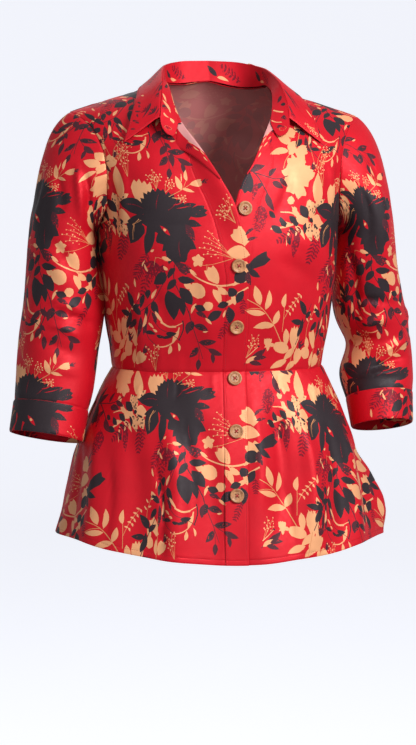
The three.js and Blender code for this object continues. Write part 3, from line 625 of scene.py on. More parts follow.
class Print:
    """Motifs as outlines on the flat cloth, the later ones on top.

    A motif runs from a base to a tip. Its dry is how broken its ink is at the two.
    """

    def __init__(self, seed):
        self.rng = random.Random(seed)
        self.motifs = []

    def add(self, loop, ink, base, tip, dry=(0, 0), speck=0.0):
        ends = np.array([base, tip], float)
        self.motifs.append((np.asarray(loop, float), INK_NAMES.index(ink), ends, dry, speck))

    def outline(self, ink, x0, y0, x1, y1, sides, **look):
        """From rows of (share along, offset across), in the frame of a base and a tip."""
        dx, dy = x1 - x0, y1 - y0
        n = math.hypot(dx, dy) or 1e-6
        loop = [(x0 + dx * t - dy / n * w, y0 + dy * t + dx / n * w) for t, w in sides]
        self.add(loop, ink, (x0, y0), (x1, y1), **look)

    def leaf(self, ink, x0, y0, x1, y1, width, full=0.42, bend=None, **look):
        """A leaf, widest at the share `full` of its length."""
        bend = self.rng.uniform(-0.1, 0.1) if bend is None else bend
        length = math.hypot(x1 - x0, y1 - y0)
        power = math.log(0.5) / math.log(full)
        n = LEAF_STEPS if length > SHORT_LEAF else SHORT_STEPS
        shares = [i / n for i in range(n + 1)]
        half = [width / 2 * math.sin(math.pi * t**power) ** 0.85 if 0 < t < 1 else 0 for t in shares]
        curve = [bend * length * 4 * t * (1 - t) for t in shares]
        wobble = [1 + self.rng.uniform(-0.07, 0.07) for _ in shares]
        upper = [(t, c + h * w) for t, c, h, w in zip(shares, curve, half, wobble)]
        lower = [(t, c - h) for t, c, h in zip(shares, curve, half)][-2:0:-1]
        self.outline(ink, x0, y0, x1, y1, upper + lower, **look)

    def petal(self, ink, x0, y0, x1, y1, width, teeth=3, neck=0.15, **look):
        """A petal with a ragged end."""
        rise = ((0, neck), *PETAL_SIDE)
        left = [(t, width / 2 * w * self.rng.uniform(0.92, 1.08)) for t, w in rise]
        right = [(t, -width / 2 * w * self.rng.uniform(0.92, 1.08)) for t, w in rise][::-1]
        end = []
        for k in range(2 * teeth - 1):
            across = 0.78 - 1.56 * k / max(1, 2 * teeth - 2)
            reach = 1.0 - 0.12 * abs(across) if k % 2 == 0 else 0.84
            end.append((reach + self.rng.uniform(-0.03, 0.03), width / 2 * across))
        self.outline(ink, x0, y0, x1, y1, left + end + right, **look)

    def blob(self, ink, x, y, rx, ry, turn=0, rough=0.06, n=12):
        c, s = math.cos(math.radians(turn)), math.sin(math.radians(turn))
        loop = []
        for i in range(n):
            a = 2 * math.pi * i / n
            r = 1 + self.rng.uniform(-rough, rough)
            px, py = rx * r * math.cos(a), ry * r * math.sin(a)
            loop.append((x + c * px - s * py, y + s * px + c * py))
        self.add(loop, ink, (x, y - ry), (x, y + ry))

    def stem(self, ink, w0, w1, *points, n=None, **look):
        """A thin line along a smooth curve through two to four points."""
        x, y = np.array(points, float).T
        at = np.linspace(0, 1, n or 3 * len(points) + 1)
        curve = {"t": np.linspace(0, 1, len(points)), "x": x, "y": y}
        line = np.stack([through(curve, "t", axis, at) for axis in "xy"], -1)
        way = np.gradient(line, axis=0)
        way /= np.maximum(np.linalg.norm(way, axis=1, keepdims=True), 1e-6)
        side = np.stack([-way[:, 1], way[:, 0]], -1) * (mix(w0, w1, at) / 2)[:, None]
        self.add(np.vstack([line + side, (line - side)[::-1]]), ink, points[0], points[-1], **look)

    def fern(self, ink, x0, y0, x1, y1, width, pairs=8, dry=(0.25, 0.5)):
        """Narrow leaflets along a stem."""
        self.stem(ink, 0.9, 0.4, (x0, y0), (x1, y1), n=3, dry=dry)
        dx, dy = x1 - x0, y1 - y0
        n = math.hypot(dx, dy)
        for k in range(pairs):
            t = (k + 0.6) / (pairs + 0.4)
            reach = width / 2 * math.sin(math.pi * (0.18 + 0.74 * t)) * self.rng.uniform(0.85, 1.1)
            bx, by = x0 + dx * t, y0 + dy * t
            for side in (1, -1):
                fx = bx + (dx / n * 0.62 - dy / n * side * 0.9) * reach
                fy = by + (dy / n * 0.62 + dx / n * side * 0.9) * reach
                self.leaf(ink, bx, by, fx, fy, n / pairs * 0.5, dry=dry)

    def brush(self, ink, x, y, turn, length, strokes=5, spread=22, dry=(0.1, 0.55)):
        """Dry strokes that fan out."""
        for k in range(strokes):
            reach = length * self.rng.uniform(0.7, 1)
            self.leaf(ink, x, y, *ray(x, y, fan(turn, spread, k, strokes), reach), length * 0.16, dry=dry)

    leaves, petals, blobs, stems, ferns, brushes = map(each, (leaf, petal, blob, stem, fern, brush))

    def berries(self, x, y, turn, length, spread, twigs, dot=0.95):
        """A spray of dots on hair-thin twigs."""
        for k in range(twigs):
            a = fan(turn, spread, k, twigs)
            reach = length * self.rng.uniform(0.75, 1.0)
            bow = self.rng.uniform(-0.12, 0.12) * reach
            ex, ey = ray(x, y, a, reach)
            middle = ((x + ex) / 2 - math.sin(a) * bow, (y + ey) / 2 + math.cos(a) * bow)
            self.stem("sand", *TWIG, (x, y), middle, (ex, ey), n=5)
            for t, side in BERRY_SIDES:
                out = side * self.rng.uniform(1.3, 2.4)
                size = dot * self.rng.uniform(0.75, 1.2)
                self.blob("tan", x + (ex - x) * t - math.sin(a) * out, y + (ey - y) * t + math.cos(a) * out,
                          size, size * 0.9, n=6)

    def tulip(self, x0, y0, x1, y1, width):
        """A tan petal whose end is brushed with dry strokes."""
        self.petal("tan", x0, y0, x1, y1, width)
        self.brush("soft", x1 - (x1 - x0) * 0.12, y1 - (y1 - y0) * 0.12,
                   math.degrees(math.atan2(y1 - y0, x1 - x0)), math.hypot(x1 - x0, y1 - y0) * 0.7)

    def star(self, x, y, size):
        for k in range(5):
            tip = ray(x, y, math.radians(90 + 72 * k + self.rng.uniform(-8, 8)), size)
            self.leaf("tan", x, y, *tip, size * 0.75, 0.5)


# The groups of the repeat, all placed from the heart of the large dark flower.
def dark_flower(p):
    p.petals("tan", (-30, 27, -27, 61, 27, 4, 0.5), (-26, 30, -17, 54, 14, 3, 0.6))
    p.leaves("tan", (-57, 34, -62, 74, 18, 0.38, 0.04))
    p.petals("black", (-4, 14, -11, 52, 26, 4), (0, 14, 3, 49, 24, 4), (4, 12, 17, 41, 24, 4),
             (6, 10, 32, 31, 24, 4), (-6, 16, -26, 44, 19))
    p.blobs("black", (-5, 19, 22, 23), rough=0.04, n=18)
    p.blobs("black", (15, 4, 18, 19), turn=-35, rough=0.05, n=14)
    p.leaves("black", (-20, 20, -61, 30, 19, 0.5, -0.05), (-22, 16, -51, 9, 12, 0.45, 0.06),
             (-22, 14, -47, -18, 25, 0.5, -0.1))
    p.stems("sand", (1.1, 0.6, (-34, 12), (-42, 2), (-43, -13)), (0.6, 0.4, (-31, 11), (-40, 4), (-41, -3)))
    p.leaves("black", (-17, 12, -25, -32, 14, 0.5, 0.03))
    p.petals("black", (4, 4, -4, -21, 20, 2), (16, 2, 2, -31, 18, 2), (14, 2, 15, -45, 26),
             (16, 2, 35, -29, 17, 2), (20, 4, 30, -14, 14, 2))
    p.petals("black", (26, 20, 54, 26, 15), dry=(0, 0.25))
    p.leaves("black", (20, 24, 40, 33, 9), dry=(0, 0.3))
    p.leaves("black", (24, 9, 46, 6, 9), dry=(0, 0.25))
    p.leaves("soft", (27, 8, 37, -13, 9.5), dry=(0.05, 0.5))
    p.leaves("red", (-26, 9, -26, -8, 2.6, 0.3), (-5.5, 5.5, 6.5, -6.5, 4.6, 0.5, 0.02))
    p.blobs("tan", (0, 0.4, 2.3, 1.7), turn=-30, rough=0.2, n=7)
    for x0, y0, x1, y1 in ((-10, 24, -6, 44), (4, 24, 16, 36), (18, -12, 20, -34), (-26, 24, -52, 28)):
        p.leaves("maroon", (x0, y0, x1, y1, 0.8), dry=(0.2, 0.5))
    p.leaves("red", (11, 31, 27, 38, 1.2), (15, 27, 33, 31, 1.0))


def speckled(p):
    p.stems("tan", (2.2, 3.4, (-124, 0), (-106, 4), (-90, 10), (-72, 14)),
            (1.2, 2.4, (-112, 22), (-98, 22), (-82, 18)))
    p.leaves("tan", (-96, 6, -110, 10, 5), (-82, 12, -98, 30, 6), (-78, 14, -70, -8, 8),
             (-72, 16, -94, 14, 10), (-92, 8, -76, -10, 6), (-94, 30, -92, 18, 7), (-98, 2, -101, -20, 3),
             (-88, 4, -92, -12, 4), (-68, 17, -45, 7, 16, 0.4))
    p.leaves("tan", (-70, 31, -46, 41, 9, 0.55), (-75, 40, -66, 16, 16, 0.5), (-73, 14, -66, -12, 10, 0.5),
             (-66, 12, -53, -10, 13, 0.55), speck=1)
    p.leaves("black", (-86, 32, -73, 17, 12, 0.5), (-100, 18, -88, 6, 9, 0.5), (-79, 12, -76, -3, 5.5, 0.5),
             (-99, 4, -90, -4, 6, 0.5), (-112, 16, -104, 4, 8, 0.5), (-124, 4, -108, -4, 9, 0.5),
             (-118, 14, -128, 22, 7, 0.5), (-101, -6, -96, -18, 6, 0.5))
    p.blobs("black", (-67.5, 15, 3, 3), rough=0.15, n=8)
    p.leaves("black", (-64, 11, -54, 5, 3, 0.5))
    p.ferns("maroon", (-80, 4, -116, -16, 18, 8), dry=(0.1, 0.4))
    p.leaves("maroon", (-85, -2, -89, -34, 10), dry=(0.3, 0.6))
    p.ferns("maroon", (-60, -6, -66, -40, 18, 7), dry=(0, 0.3))
    p.ferns("maroon", (-52, -8, -58, -34, 12, 6), dry=(0.3, 0.6))


def tan_flower(p):
    x, y = -95, 66
    lobes = ((100, 31, 19, 2), (62, 26, 15, 3), (24, 28, 18, 3), (-14, 23, 14, 2), (-66, 30, 15, 2),
             (-108, 23, 13, 2), (182, 18, 22, 2), (142, 23, 16, 2))
    for turn, reach, width, teeth in lobes:
        p.petal("tan", x, y, *ray(x, y, math.radians(turn), reach), width, teeth, 0.6)
    p.blobs("tan", (x, y, 14, 14), n=10)
    p.blobs("tan", (x - 4, y - 29, 4.5, 5.5), rough=0.15, n=8)


def tan_leaves(p):
    x, y = -97, 69
    p.stems("sand", (0.9, 0.8, (x + 7, y + 62), (x + 2, y + 40), (x - 12, y + 22), (x - 16, y + 8)))
    p.leaves("tan", (x - 2, y + 52, x - 15, y + 68, 15), (x - 6, y + 42, x - 27, y + 58, 13),
             (x - 10, y + 34, x + 1, y + 47, 10), (x - 9, y + 33, x - 34, y + 25, 9),
             (x - 9, y + 28, x + 2, y + 38, 8))
    p.tulip(x + 2, y + 34, x + 19, y + 36, 13)
    p.stems("sand", (0.5, 0.4, (x + 20, y + 44), (x + 33, y + 10), (x + 42, y + 30)),
            (0.5, 0.4, (x + 33, y + 10), (x + 36, y + 26), (x + 48, y + 44)))
    p.berries(x + 40, y + 12, 66, 34, 16, 4)


def spray(p):
    p.star(41, -37, 8.5)
    p.stems("sand", (0.5, 0.6, (43, -43), (60, -41), (84, -34)),
            (0.5, 0.6, (52, -41), (52, -50), (56, -56)))
    p.berries(84, -34, 152, 48, 20, 5)
    p.stems("tan", (1.2, 2.6, (27, -47), (44, -60), (70, -68), (101, -62)))
    p.petals("tan", (66, -65, 53, -44, 16))
    p.leaves("tan", (27, -47, 40, -55, 4), (84, -68, 100, -60, 5))


def edge_petals(p):
    p.petals("tan", (102, -16, 84, 2, 19, 3, 0.5))
    p.leaves("tan", (106, -30, 76, -26, 17, 0.5))
    p.petals("tan", (104, -62, 92, -38, 18))
    p.leaves("tan", (98, -46, 104, -40, 8))
    p.blobs("black", (94, -57, 9, 8), turn=30)
    p.petals("black", (102, -47, 133, -29, 15, 2, 0.8))
    p.leaves("black", (104, -47, 120, -58, 8))
    p.leaves("soft", (103, -50, 108, -68, 8), dry=(0, 0.4))


def round_leaves(p):
    p.stems("tan", (1.4, 2.2, (62, -66), (74, -76), (88, -78), (104, -70)))
    p.leaves("tan", (60, -72, 70, -92, 8.5), (66, -70, 80, -78, 8), (72, -92, 90, -82, 6),
             (88, -92, 82, -76, 6), (40, -90, 34, -103, 4))
    p.blobs("tan", (55, -93, 6.5, 6), rough=0.12, n=9)
    p.blobs("black", (84, -76, 6.6, 6), rough=0.12, n=9)
    p.leaves("black", (66, -94, 80, -90, 9, 0.5), (90, -90, 98, -74, 9.5, 0.5), (38, -93, 52, -98, 9, 0.5),
             (54, -112, 72, -100, 12, 0.5), (80, -94, 82, -116, 11.5, 0.5))
    p.leaves("tan", (52, -108, 60, -116, 3.5), (74, -108, 77, -98, 3))
    p.leaves("soft", (40, -101, 54, -108, 6), dry=(0.1, 0.5))
    p.ferns("maroon", (98, -84, 98, -104, 11, 6), (80, -112, 70, -136, 13, 7), dry=(0.1, 0.4))


def dark_leaves(p):
    p.ferns("maroon", (-22, -28, -40, -62, 22, 10), dry=(0.2, 0.5))
    p.ferns("maroon", (-18, -44, -30, -84, 16, 8), dry=(0.3, 0.6))
    p.brushes("maroon", (-16, -38, -100, 30, 6, 58), dry=(0.15, 0.55))
    p.brushes("maroon", (-18, -46, -75, 24, 4, 40), dry=(0.3, 0.6))
    p.leaves("maroon", (-2, -42, -10, -74, 12), dry=(0.3, 0.6))
    p.petals("soft", (14, -40, 32, -52, 12), dry=(0.1, 0.5))
    p.blobs("tan", (41, -74, 11, 9.5), turn=-30, rough=0.09)
    p.leaves("tan", (34, -70, 24, -66, 8))
    p.stems("soft", (1.2, 1.2, (12, -42), (12, -62), (24, -86), (33, -106)),
            (1.0, 0.9, (8, -46), (-4, -70), (-16, -90), (-34, -104)))
    p.leaves("black", (1, -52, -14, -67, 14), (14, -60, 3, -74, 9), (16, -59, 38, -62, 9.5),
             (13, -46, 4, -60, 7), (4, -74, 13, -112, 19, 0.45, 0.06), (19, -70, 35, -92, 14, 0.5),
             (17, -82, 25, -106, 9.5))
    p.leaves("black", (-15, -88, -7, -106, 9), (-20, -74, -22, -86, 7.5), (-27, -80, -31, -98, 6.5),
             (-30, -106, -46, -95, 8), (-22, -95, -24, -112, 5), (-36, -112, -48, -124, 8), dry=(0, 0.2))
    p.leaves("soft", (-30, -108, -36, -138, 6), (-26, -114, -26, -132, 5), (-16, -102, -10, -118, 5),
             dry=(0, 0.4))
    p.leaves("tan", (-22, -52, -27, -42, 2.6), (-19, -27, -14, -24, 3), (-39, -72, -41, -61, 3),
             (-17, -86, -10, -73, 4), (-44, -90, -36, -96, 2.6), (4, -49, -2, -44, 4), (-4, -33, 8, -37, 5),
             (-12, -101, -1, -116, 4), (-27, -122, -24, -104, 4), (-34, -78, -36, -88, 2),
             (-30, -46, -26, -38, 2))
    p.stems("sand", (0.5, 0.5, (-12, -33), (-14, -46), (-11, -34), (4, -38)))


def crescents(p):
    p.stems("tan", (1.0, 1.0, (-11, -102), (-3, -115), (10, -121), (24, -115)),
            (2.2, 2.4, (-4, -115), (6, -120.5), (16, -120)),
            (1.4, 1.6, (-9, -147), (4, -146), (15, -138), (20, -121)))
    p.leaves("tan", (12, -142, 20, -124, 5.5, 0.5))
    p.stems("soft", (0.8, 0.7, (-17, -100), (-22, -118), (-20, -134), (-8, -146)),
            (0.7, 0.7, (-14, -112), (-4, -124), (10, -130), (22, -138)))
    p.stems("black", (1.6, 1.2, (24, -112), (25, -124), (20, -138)))
    p.leaves("black", (-24, -128, -10, -131, 5.5), (-9, -132, 2, -134, 4.5), (3, -130, 17, -129, 6.5),
             (-1, -136, 12, -134, 4), dry=(0, 0.3))
    p.leaves("tan", (8, -156, 10, -144, 5), (21, -152, 19, -141, 3), (-20, -116, -13, -123, 3),
             (-8, -128, -14, -124, 3))
    p.stems("sand", (0.6, 0.5, (-52, -148), (-54, -120), (-48, -104), (-42, -94)))
    p.leaves("tan", (-53, -112, -58, -106, 2.4), (-51, -108, -45, -108, 2.4), (-50, -104, -54, -98, 2.4),
             (-46, -99, -40, -99, 2.2), (-44, -96, -44, -90, 2.2))
    p.petals("tan", (-36, -146, -46, -122, 12, 2, 0.4))
    p.blobs("tan", (-51, -153, 7, 8), turn=20)
    p.leaves("tan", (-50, -150, -53, -132, 7, 0.5), (-40, -170, -38, -150, 7))
    p.tulip(-36, -170, -24, -154, 14)
    p.stems("sand", (0.7, 0.7, (-34, -125), (-36, -150), (-40, -175)))
    p.berries(-8, -178, 100, 34, 14, 4)


def hanging(p):
    p.stems("soft", (1.2, 0.6, (31, -100), (36, -118), (44, -140), (51, -162)),
            (0.8, 0.5, (43, -138), (56, -148), (70, -156)), (0.7, 0.5, (45, -142), (46, -156), (46, -168)))
    p.leaves("soft", (36, -112, 30, -130, 8.5, 0.45), (38, -118, 56, -124, 8.5, 0.45),
             (45, -140, 67, -139, 8.5, 0.45), (44, -146, 34, -160, 8, 0.45),
             (57, -148, 75, -157, 7.5, 0.45), (46, -162, 45, -177, 6.5, 0.45),
             (62, -154, 64, -168, 5.5, 0.45))
    p.leaves("black", (37, -113, 32, -127, 5), (41, -119, 53, -123, 5), (49, -140, 62, -139.4, 5),
             (43, -147, 36, -157, 5), dry=(0.1, 0.5))
    p.leaves("tan", (49, -126, 56, -125, 2.2))


def tan_sprigs(p):
    p.stems("sand", (1.0, 1.2, (103, -85), (123, -97), (139, -118), (153, -145)),
            (0.8, 0.8, (101, -99), (112, -97), (123, -98)))
    p.leaves("tan", (121, -93, 113, -68, 10.5, 0.45), (128, -99, 132, -74, 7.5, 0.45),
             (128, -104, 102, -100, 7.5, 0.45), (140, -119, 113, -122, 9, 0.45),
             (139, -118, 146, -100, 8.5, 0.45))
    p.stems("sand", (0.7, 0.6, (152, -128), (153, -108), (153.5, -96)))
    p.leaves("tan", (153, -97, 155, -79, 6.5))
    p.stems("sand", (0.7, 0.5, (153, -112), (162, -96), (176, -81)))
    for k in range(5):
        t = 0.3 + 0.17 * k
        x, y = (mix(153, 176, t), mix(-112, -81, t))
        p.leaves("tan", (x, y, x - 5, y + 2.5, 2.4), (x, y, x + 2, y - 5, 2.4))
    p.berries(106, -160, 66, 32, 12, 4)
    p.stems("tan", (1.2, 0.9, (105, -161), (112, -155), (121, -147)))
    p.blobs("black", (121.5, -146.5, 1.6, 1.2), n=6)
    p.petals("tan", (133, -148, 133, -135, 10.5, 4, 0.8))
    p.leaves("tan", (133, -146, 133, -153, 4))
    p.blobs("tan", (152, -149, 11, 7.5), turn=-18)
    p.leaves("tan", (143, -146, 133, -144, 5), (158, -150, 157, -124, 8.5, 0.6),
             (171, -150, 156, -166, 8.5), (161, -166, 138, -176, 9), (174, -168, 160, -180, 8))
    p.petals("tan", (170, -152, 171, -120, 15, 4, 0.3))
    p.stems("sand", (0.7, 0.7, (170, -148), (166, -170), (162, -190)))
    p.tulip(174, -172, 180, -150, 13)
    p.stems("soft", (1.0, 0.8, (172, -146), (184, -118), (196, -94)))
    p.leaves("black", (181, -118, 163, -114, 8), (186, -108, 175, -88, 9), (174, -136, 182, -112, 8),
             (186, -112, 196, -104, 7), dry=(0, 0.15))
    p.stems("soft", (0.7, 0.6, (103, -170), (112, -160), (122, -154)))
    p.leaves("soft", (112, -162, 131, -149, 8), dry=(0, 0.35))
    p.leaves("tan", (105, -168, 121, -159, 6))
    p.leaves("soft", (115, -163, 133, -161, 6.5), (110, -167, 127, -171, 6.5), dry=(0, 0.35))


def twigs(p):
    p.berries(-9, 50, 100, 24, 26, 5)
    p.berries(2, 46, 62, 20, 16, 3)
    p.stems("sand", (0.7, 0.7, (6, 41), (20, 49), (36, 60)))
    p.leaves("tan", (22, 50, 15, 68, 7), (29, 62, 28, 77, 4.5), (23, 52, 38, 48, 4), (22, 60, 22, 72, 1.6))
    p.stems("sand", (0.5, 0.5, (24, 52), (28, 62)))
    p.tulip(33, 58, 48, 61, 9)
    p.berries(10, 40, -2, 20, 12, 3)
    p.stems("soft", (0.7, 0.6, (2, 138), (5, 112), (12, 94)))
    p.leaves("soft", (6, 108, -2, 94, 8), (11, 98, 13, 80, 7), (4, 112, 12, 104, 5), (2, 130, -12, 118, 8),
             (3, 132, 16, 122, 7), dry=(0, 0.2))


def dark_sprig(p):
    p.stems("soft", (1.6, 1.3, (106, 78), (118, 66), (130, 44), (134, 34)),
            (1.4, 1.1, (112, 72), (126, 68), (142, 64), (158, 68)))
    p.leaves("soft", (132, 67, 143, 78, 6), (146, 65, 158, 54, 6.5), (124, 58, 112, 50, 6), dry=(0, 0.3))
    p.leaves("soft", (106, 74, 128, 81, 9), (136, 60, 151, 52, 8.5), dry=(0, 0.25))
    p.leaves("soft", (128, 46, 138, 24, 8.5), dry=(0, 0.35))
    p.leaves("black", (100, 72, 122, 94, 8), dry=(0, 0.3))
    p.petals("black", (104, 76, 100, 45, 20), dry=(0, 0.15))
    p.leaves("maroon", (116, 60, 110, 36, 7), dry=(0.3, 0.6))
    p.ferns("maroon", (122, 32, 116, -2, 20, 9), dry=(0.15, 0.45))
    p.leaves("maroon", (122, 30, 118, 0, 16), dry=(0.4, 0.6))
    p.leaves("soft", (100, -6, 114, 4, 4), (102, -12, 116, -8, 4), dry=(0.2, 0.5))


def turned_flecks(p):
    """Slender strokes on the strips that fold back beside the opening, from the fold and the bottom."""
    for way in (-1, 1):
        for x, y, length, lean in ((6, 70, 12, 3), (4, 58, 11, 2), (8, 52, 9, 3), (2.5, 44, 9, 1),
                                   (4, 34, 8, 1), (10, 62, 7, 3)):
            p.leaves("tan", (way * x, y, way * (x - lean), y - length, 1.5))
        p.brushes("soft", (way * 7, 78, -90 - way * 20, 14, 5, 24), dry=(0.1, 0.6))
        p.brushes("maroon", (way * 12, 60, -90 + way * 15, 12, 5, 28), dry=(0.1, 0.6))


def band_spray(p):
    """Berries on the over band, where the opening ends."""
    p.berries(-1, 188, 115, 37, 9, 3, dot=1.1)
    p.berries(-2, 189, 143, 30, 12, 3, dot=1.1)


def collar_ends(p):
    """Motifs that show at the front ends of the collar's leaf, from its middle and its fold."""
    p.leaves("soft", (160, 0, 182, -17, 2.2), dry=(0.1, 0.5))
    p.leaves("soft", (164, -3, 188, -22, 1.6), dry=(0.2, 0.6))
    p.leaves("soft", (172, -1, 184, -8, 7), dry=(0, 0.4))
    p.brushes("soft", (186, -6, -30, 13, 4, 30), dry=(0.2, 0.6))
    p.leaves("soft", (196, -19, 218, -30, 5.5, 0.42, 0.1), dry=(0, 0.3))
    p.brushes("soft", (226, -11, 205, 20, 7, 40), dry=(0.15, 0.6))
    p.brushes("maroon", (208, -24, 200, 16, 6, 46), dry=(0.1, 0.5))
    for k in range(7):
        p.leaves("soft", (176 + 8 * k, -44 + k % 2 * 4, 186 + 8 * k, -36 + k % 3 * 2, 2.4), dry=(0.2, 0.6))
    p.leaves("soft", (222, -3, 234, -10, 2.2), dry=(0.1, 0.5))
    p.leaves("tan", (166, -40, 172, -34, 2.4))
    p.leaves("soft", (-176, -2, -208, -18, 4.6, 0.42, 0.05), dry=(0.1, 0.5))
    p.leaves("maroon", (-182, -14, -202, -26, 3), dry=(0.2, 0.6))
    p.leaves("soft", (-212, -2, -236, -10, 3.6, 0.42, 0.05), dry=(0.1, 0.45))
    p.brushes("maroon", (-224, -8, 190, 14, 4, 18), dry=(0.3, 0.6))
    p.berries(-222, -42, 150, 16, 34, 5)
    p.leaves("tan", (-200, -44, -190, -38, 3))
    p.leaves("black", (-150, -40, -164, -34, 7), dry=(0, 0.3))
    for x, sign in ((120, 1), (-122, -1)):
        p.ferns("maroon", (x, -6, x + 30 * sign, -30, 14, 7), dry=(0.2, 0.6))
        p.leaves("black", (x - 6 * sign, -34, x + 14 * sign, -44, 7), dry=(0, 0.2))


def stand_ends(p):
    """Motifs on the collar's stand, from its middle and its foot."""
    p.leaves("tan", (150, 20, 163, 13, 3.6), (161, 19, 181, 8, 4.6, 0.42, -0.12),
             (183, 17, 190, 10, 2.6, 0.42, 0.2), (190, 9, 200, 5, 4.5))
    p.brushes("soft", (168, 18, -20, 13, 4, 24), dry=(0.2, 0.6))
    p.brushes("maroon", (214, 12, 20, 9, 5, 70), dry=(0.2, 0.5))
    for side in (1, -1):
        for k in range(8):
            a = 0.4 + 0.75 * k
            start, end = ray(216 * side, 12, a, 4.6), ray(216 * side, 12, a + 0.5, 5.2)
            p.stem("sand", 0.6, 0.5, start, end, n=2)
    p.leaves("soft", (-150, 16, -160, 8, 6), dry=(0, 0.4))
    p.blobs("black", (-166, 16, 3, 3.4), rough=0.15, n=8)
    p.stems("tan", (1.8, 2.6, (-171, 2), (-176, 8), (-180, 15)),
            (1.4, 1.8, (-190, 1), (-196, 6), (-200, 12)))
    p.brushes("soft", (-186, 16, 185, 13, 4, 22), (-204, 8, 170, 13, 5, 30), dry=(0.2, 0.6))
    for x in (-110, -40, 30, 96):
        p.ferns("maroon", (x, 4, x + 26, 17, 13, 6), dry=(0.2, 0.6))
        p.leaves("black", (x + 30, 6, x + 42, 16, 6), dry=(0, 0.3))
        p.leaves("tan", (x + 30, 5, x + 16, 3, 3.4))


# The groups in the order in which a repeat is printed, and those that only some pieces have.
GROUPS = {draw.__name__: draw for draw in (
    speckled, dark_flower, tan_flower, tan_leaves, spray, edge_petals, round_leaves, dark_leaves,
    crescents, hanging, tan_sprigs, twigs, dark_sprig)}
ENDS = {draw.__name__: draw for draw in (turned_flecks, collar_ends, stand_ends, band_spray)}


# ---- the repeat and how it is laid on a piece ---------------------------------------------------
FIRST_SEED = 40
DOWN = (-38.0, 240.0)     # from one repeat to the one above it
ACROSS = (256.0, -11.0)   # and to the one at its side
REPEAT = {}
for seed, (name, draw) in enumerate((GROUPS | ENDS).items(), FIRST_SEED):
    REPEAT[name] = Print(seed)
    draw(REPEAT[name])


def without(*names):
    return [name for name in GROUPS if name not in names]


def tile(x, y, groups=tuple(GROUPS), turn=0.0, wide=1.0):
    """A repeat with its heart at x, y, and its part to the left of the heart made that wide."""
    return x, y, groups, turn, wide


def laid(tiles):
    """The motifs of the tiles in drawing order: outline, ink, base and tip, dry and speck."""
    rows = []
    for x, y, groups, turn, wide in tiles:
        c, s = math.cos(math.radians(turn)), math.sin(math.radians(turn))

        def move(points):
            narrow = np.where(points[:, :1] < 0, [wide, 1], [1, 1])
            return (points * narrow) @ np.array([[c, s], [-s, c]]) + [x, y]

        for group in groups:
            rows += [(move(loop), ink, move(ends), *look) for loop, ink, ends, *look in REPEAT[group].motifs]
    return rows


def lattice(x, y, across=ACROSS, down=DOWN, wide=1.0):
    """Nine tiles of the repeat about the heart at x, y; the lower ones lack some leaves."""
    return [tile(x + across[0] * i + down[0] * j, y + across[1] * i + down[1] * j,
                 without("tan_leaves") if j < 0 else tuple(GROUPS), wide=wide)
            for j in (1, 0, -1) for i in (-1, 0, 1)]


def but(tiles, *changes):
    """The tiles, with only the given groups in those whose heart is nearest a given place."""
    for x, y, groups in changes:
        nearest = min(tiles, key=lambda row: math.hypot(row[0] - x, row[1] - y))
        tiles = [(*row[:2], groups, *row[3:]) if row is nearest else row for row in tiles]
    return tiles


# ---- materials ----------------------------------------------------------------------------------
METRE_THREAD, METRE_PICK, METRE_PLY, METRE_RING = 0.0005, 0.0007, 0.00035, 0.0006  # pitches, in metres


class Nodes:
    """The nodes of a new material."""

    def __init__(self, name):
        self.material = bpy.data.materials.new(name)
        self.material.use_nodes = True
        self.tree = self.material.node_tree
        self.shader = self.tree.nodes["Principled BSDF"]

    def put(self, node, values):
        """Link or set the named inputs of a node."""
        for key, value in values.items():
            if isinstance(value, bpy.types.NodeSocket):
                self.tree.links.new(value, node.inputs[key])
            else:
                node.inputs[key].default_value = value

    def add(self, kind, values=None, **settings):
        node = self.tree.nodes.new("ShaderNode" + kind)
        for key, value in settings.items():
            setattr(node, key, value)
        self.put(node, values or {})
        return node

    def maths(self, operation, a, b=0.0, c=0.0, clamp=False):
        return self.add("Math", {0: a, 1: b, 2: c}, operation=operation, use_clamp=clamp).outputs[0]

    def wave(self, place, pitch):
        return self.maths("SINE", self.maths("MULTIPLY", place, 2 * math.pi / pitch))

    def spread(self, value, low, high, to_low=0.0, to_high=1.0):
        return self.add("MapRange", {0: value, 1: low, 2: high, 3: to_low, 4: to_high}).outputs[0]

    def noise(self, place, scale, detail=2.0, rough=0.5):
        values = {"Vector": place, "Scale": scale, "Detail": detail, "Roughness": rough}
        return self.add("TexNoise", values).outputs["Fac"]

    def scaled(self, place, *by):
        return self.add("VectorMath", {0: place, 1: by}, operation="MULTIPLY").outputs[0]

    def blend(self, share, a, b):
        return self.add("Mix", {0: share, 6: a, 7: b}, data_type="RGBA").outputs[2]

    def bump(self, height, strength, depth):
        return self.add("Bump", {"Strength": strength, "Distance": depth, "Height": height}).outputs[0]

    def uv(self):
        return self.add("UVMap", uv_map="cloth").outputs[0]

    def corner(self, name, output):
        return self.add("Attribute", attribute_name=name).outputs[output]


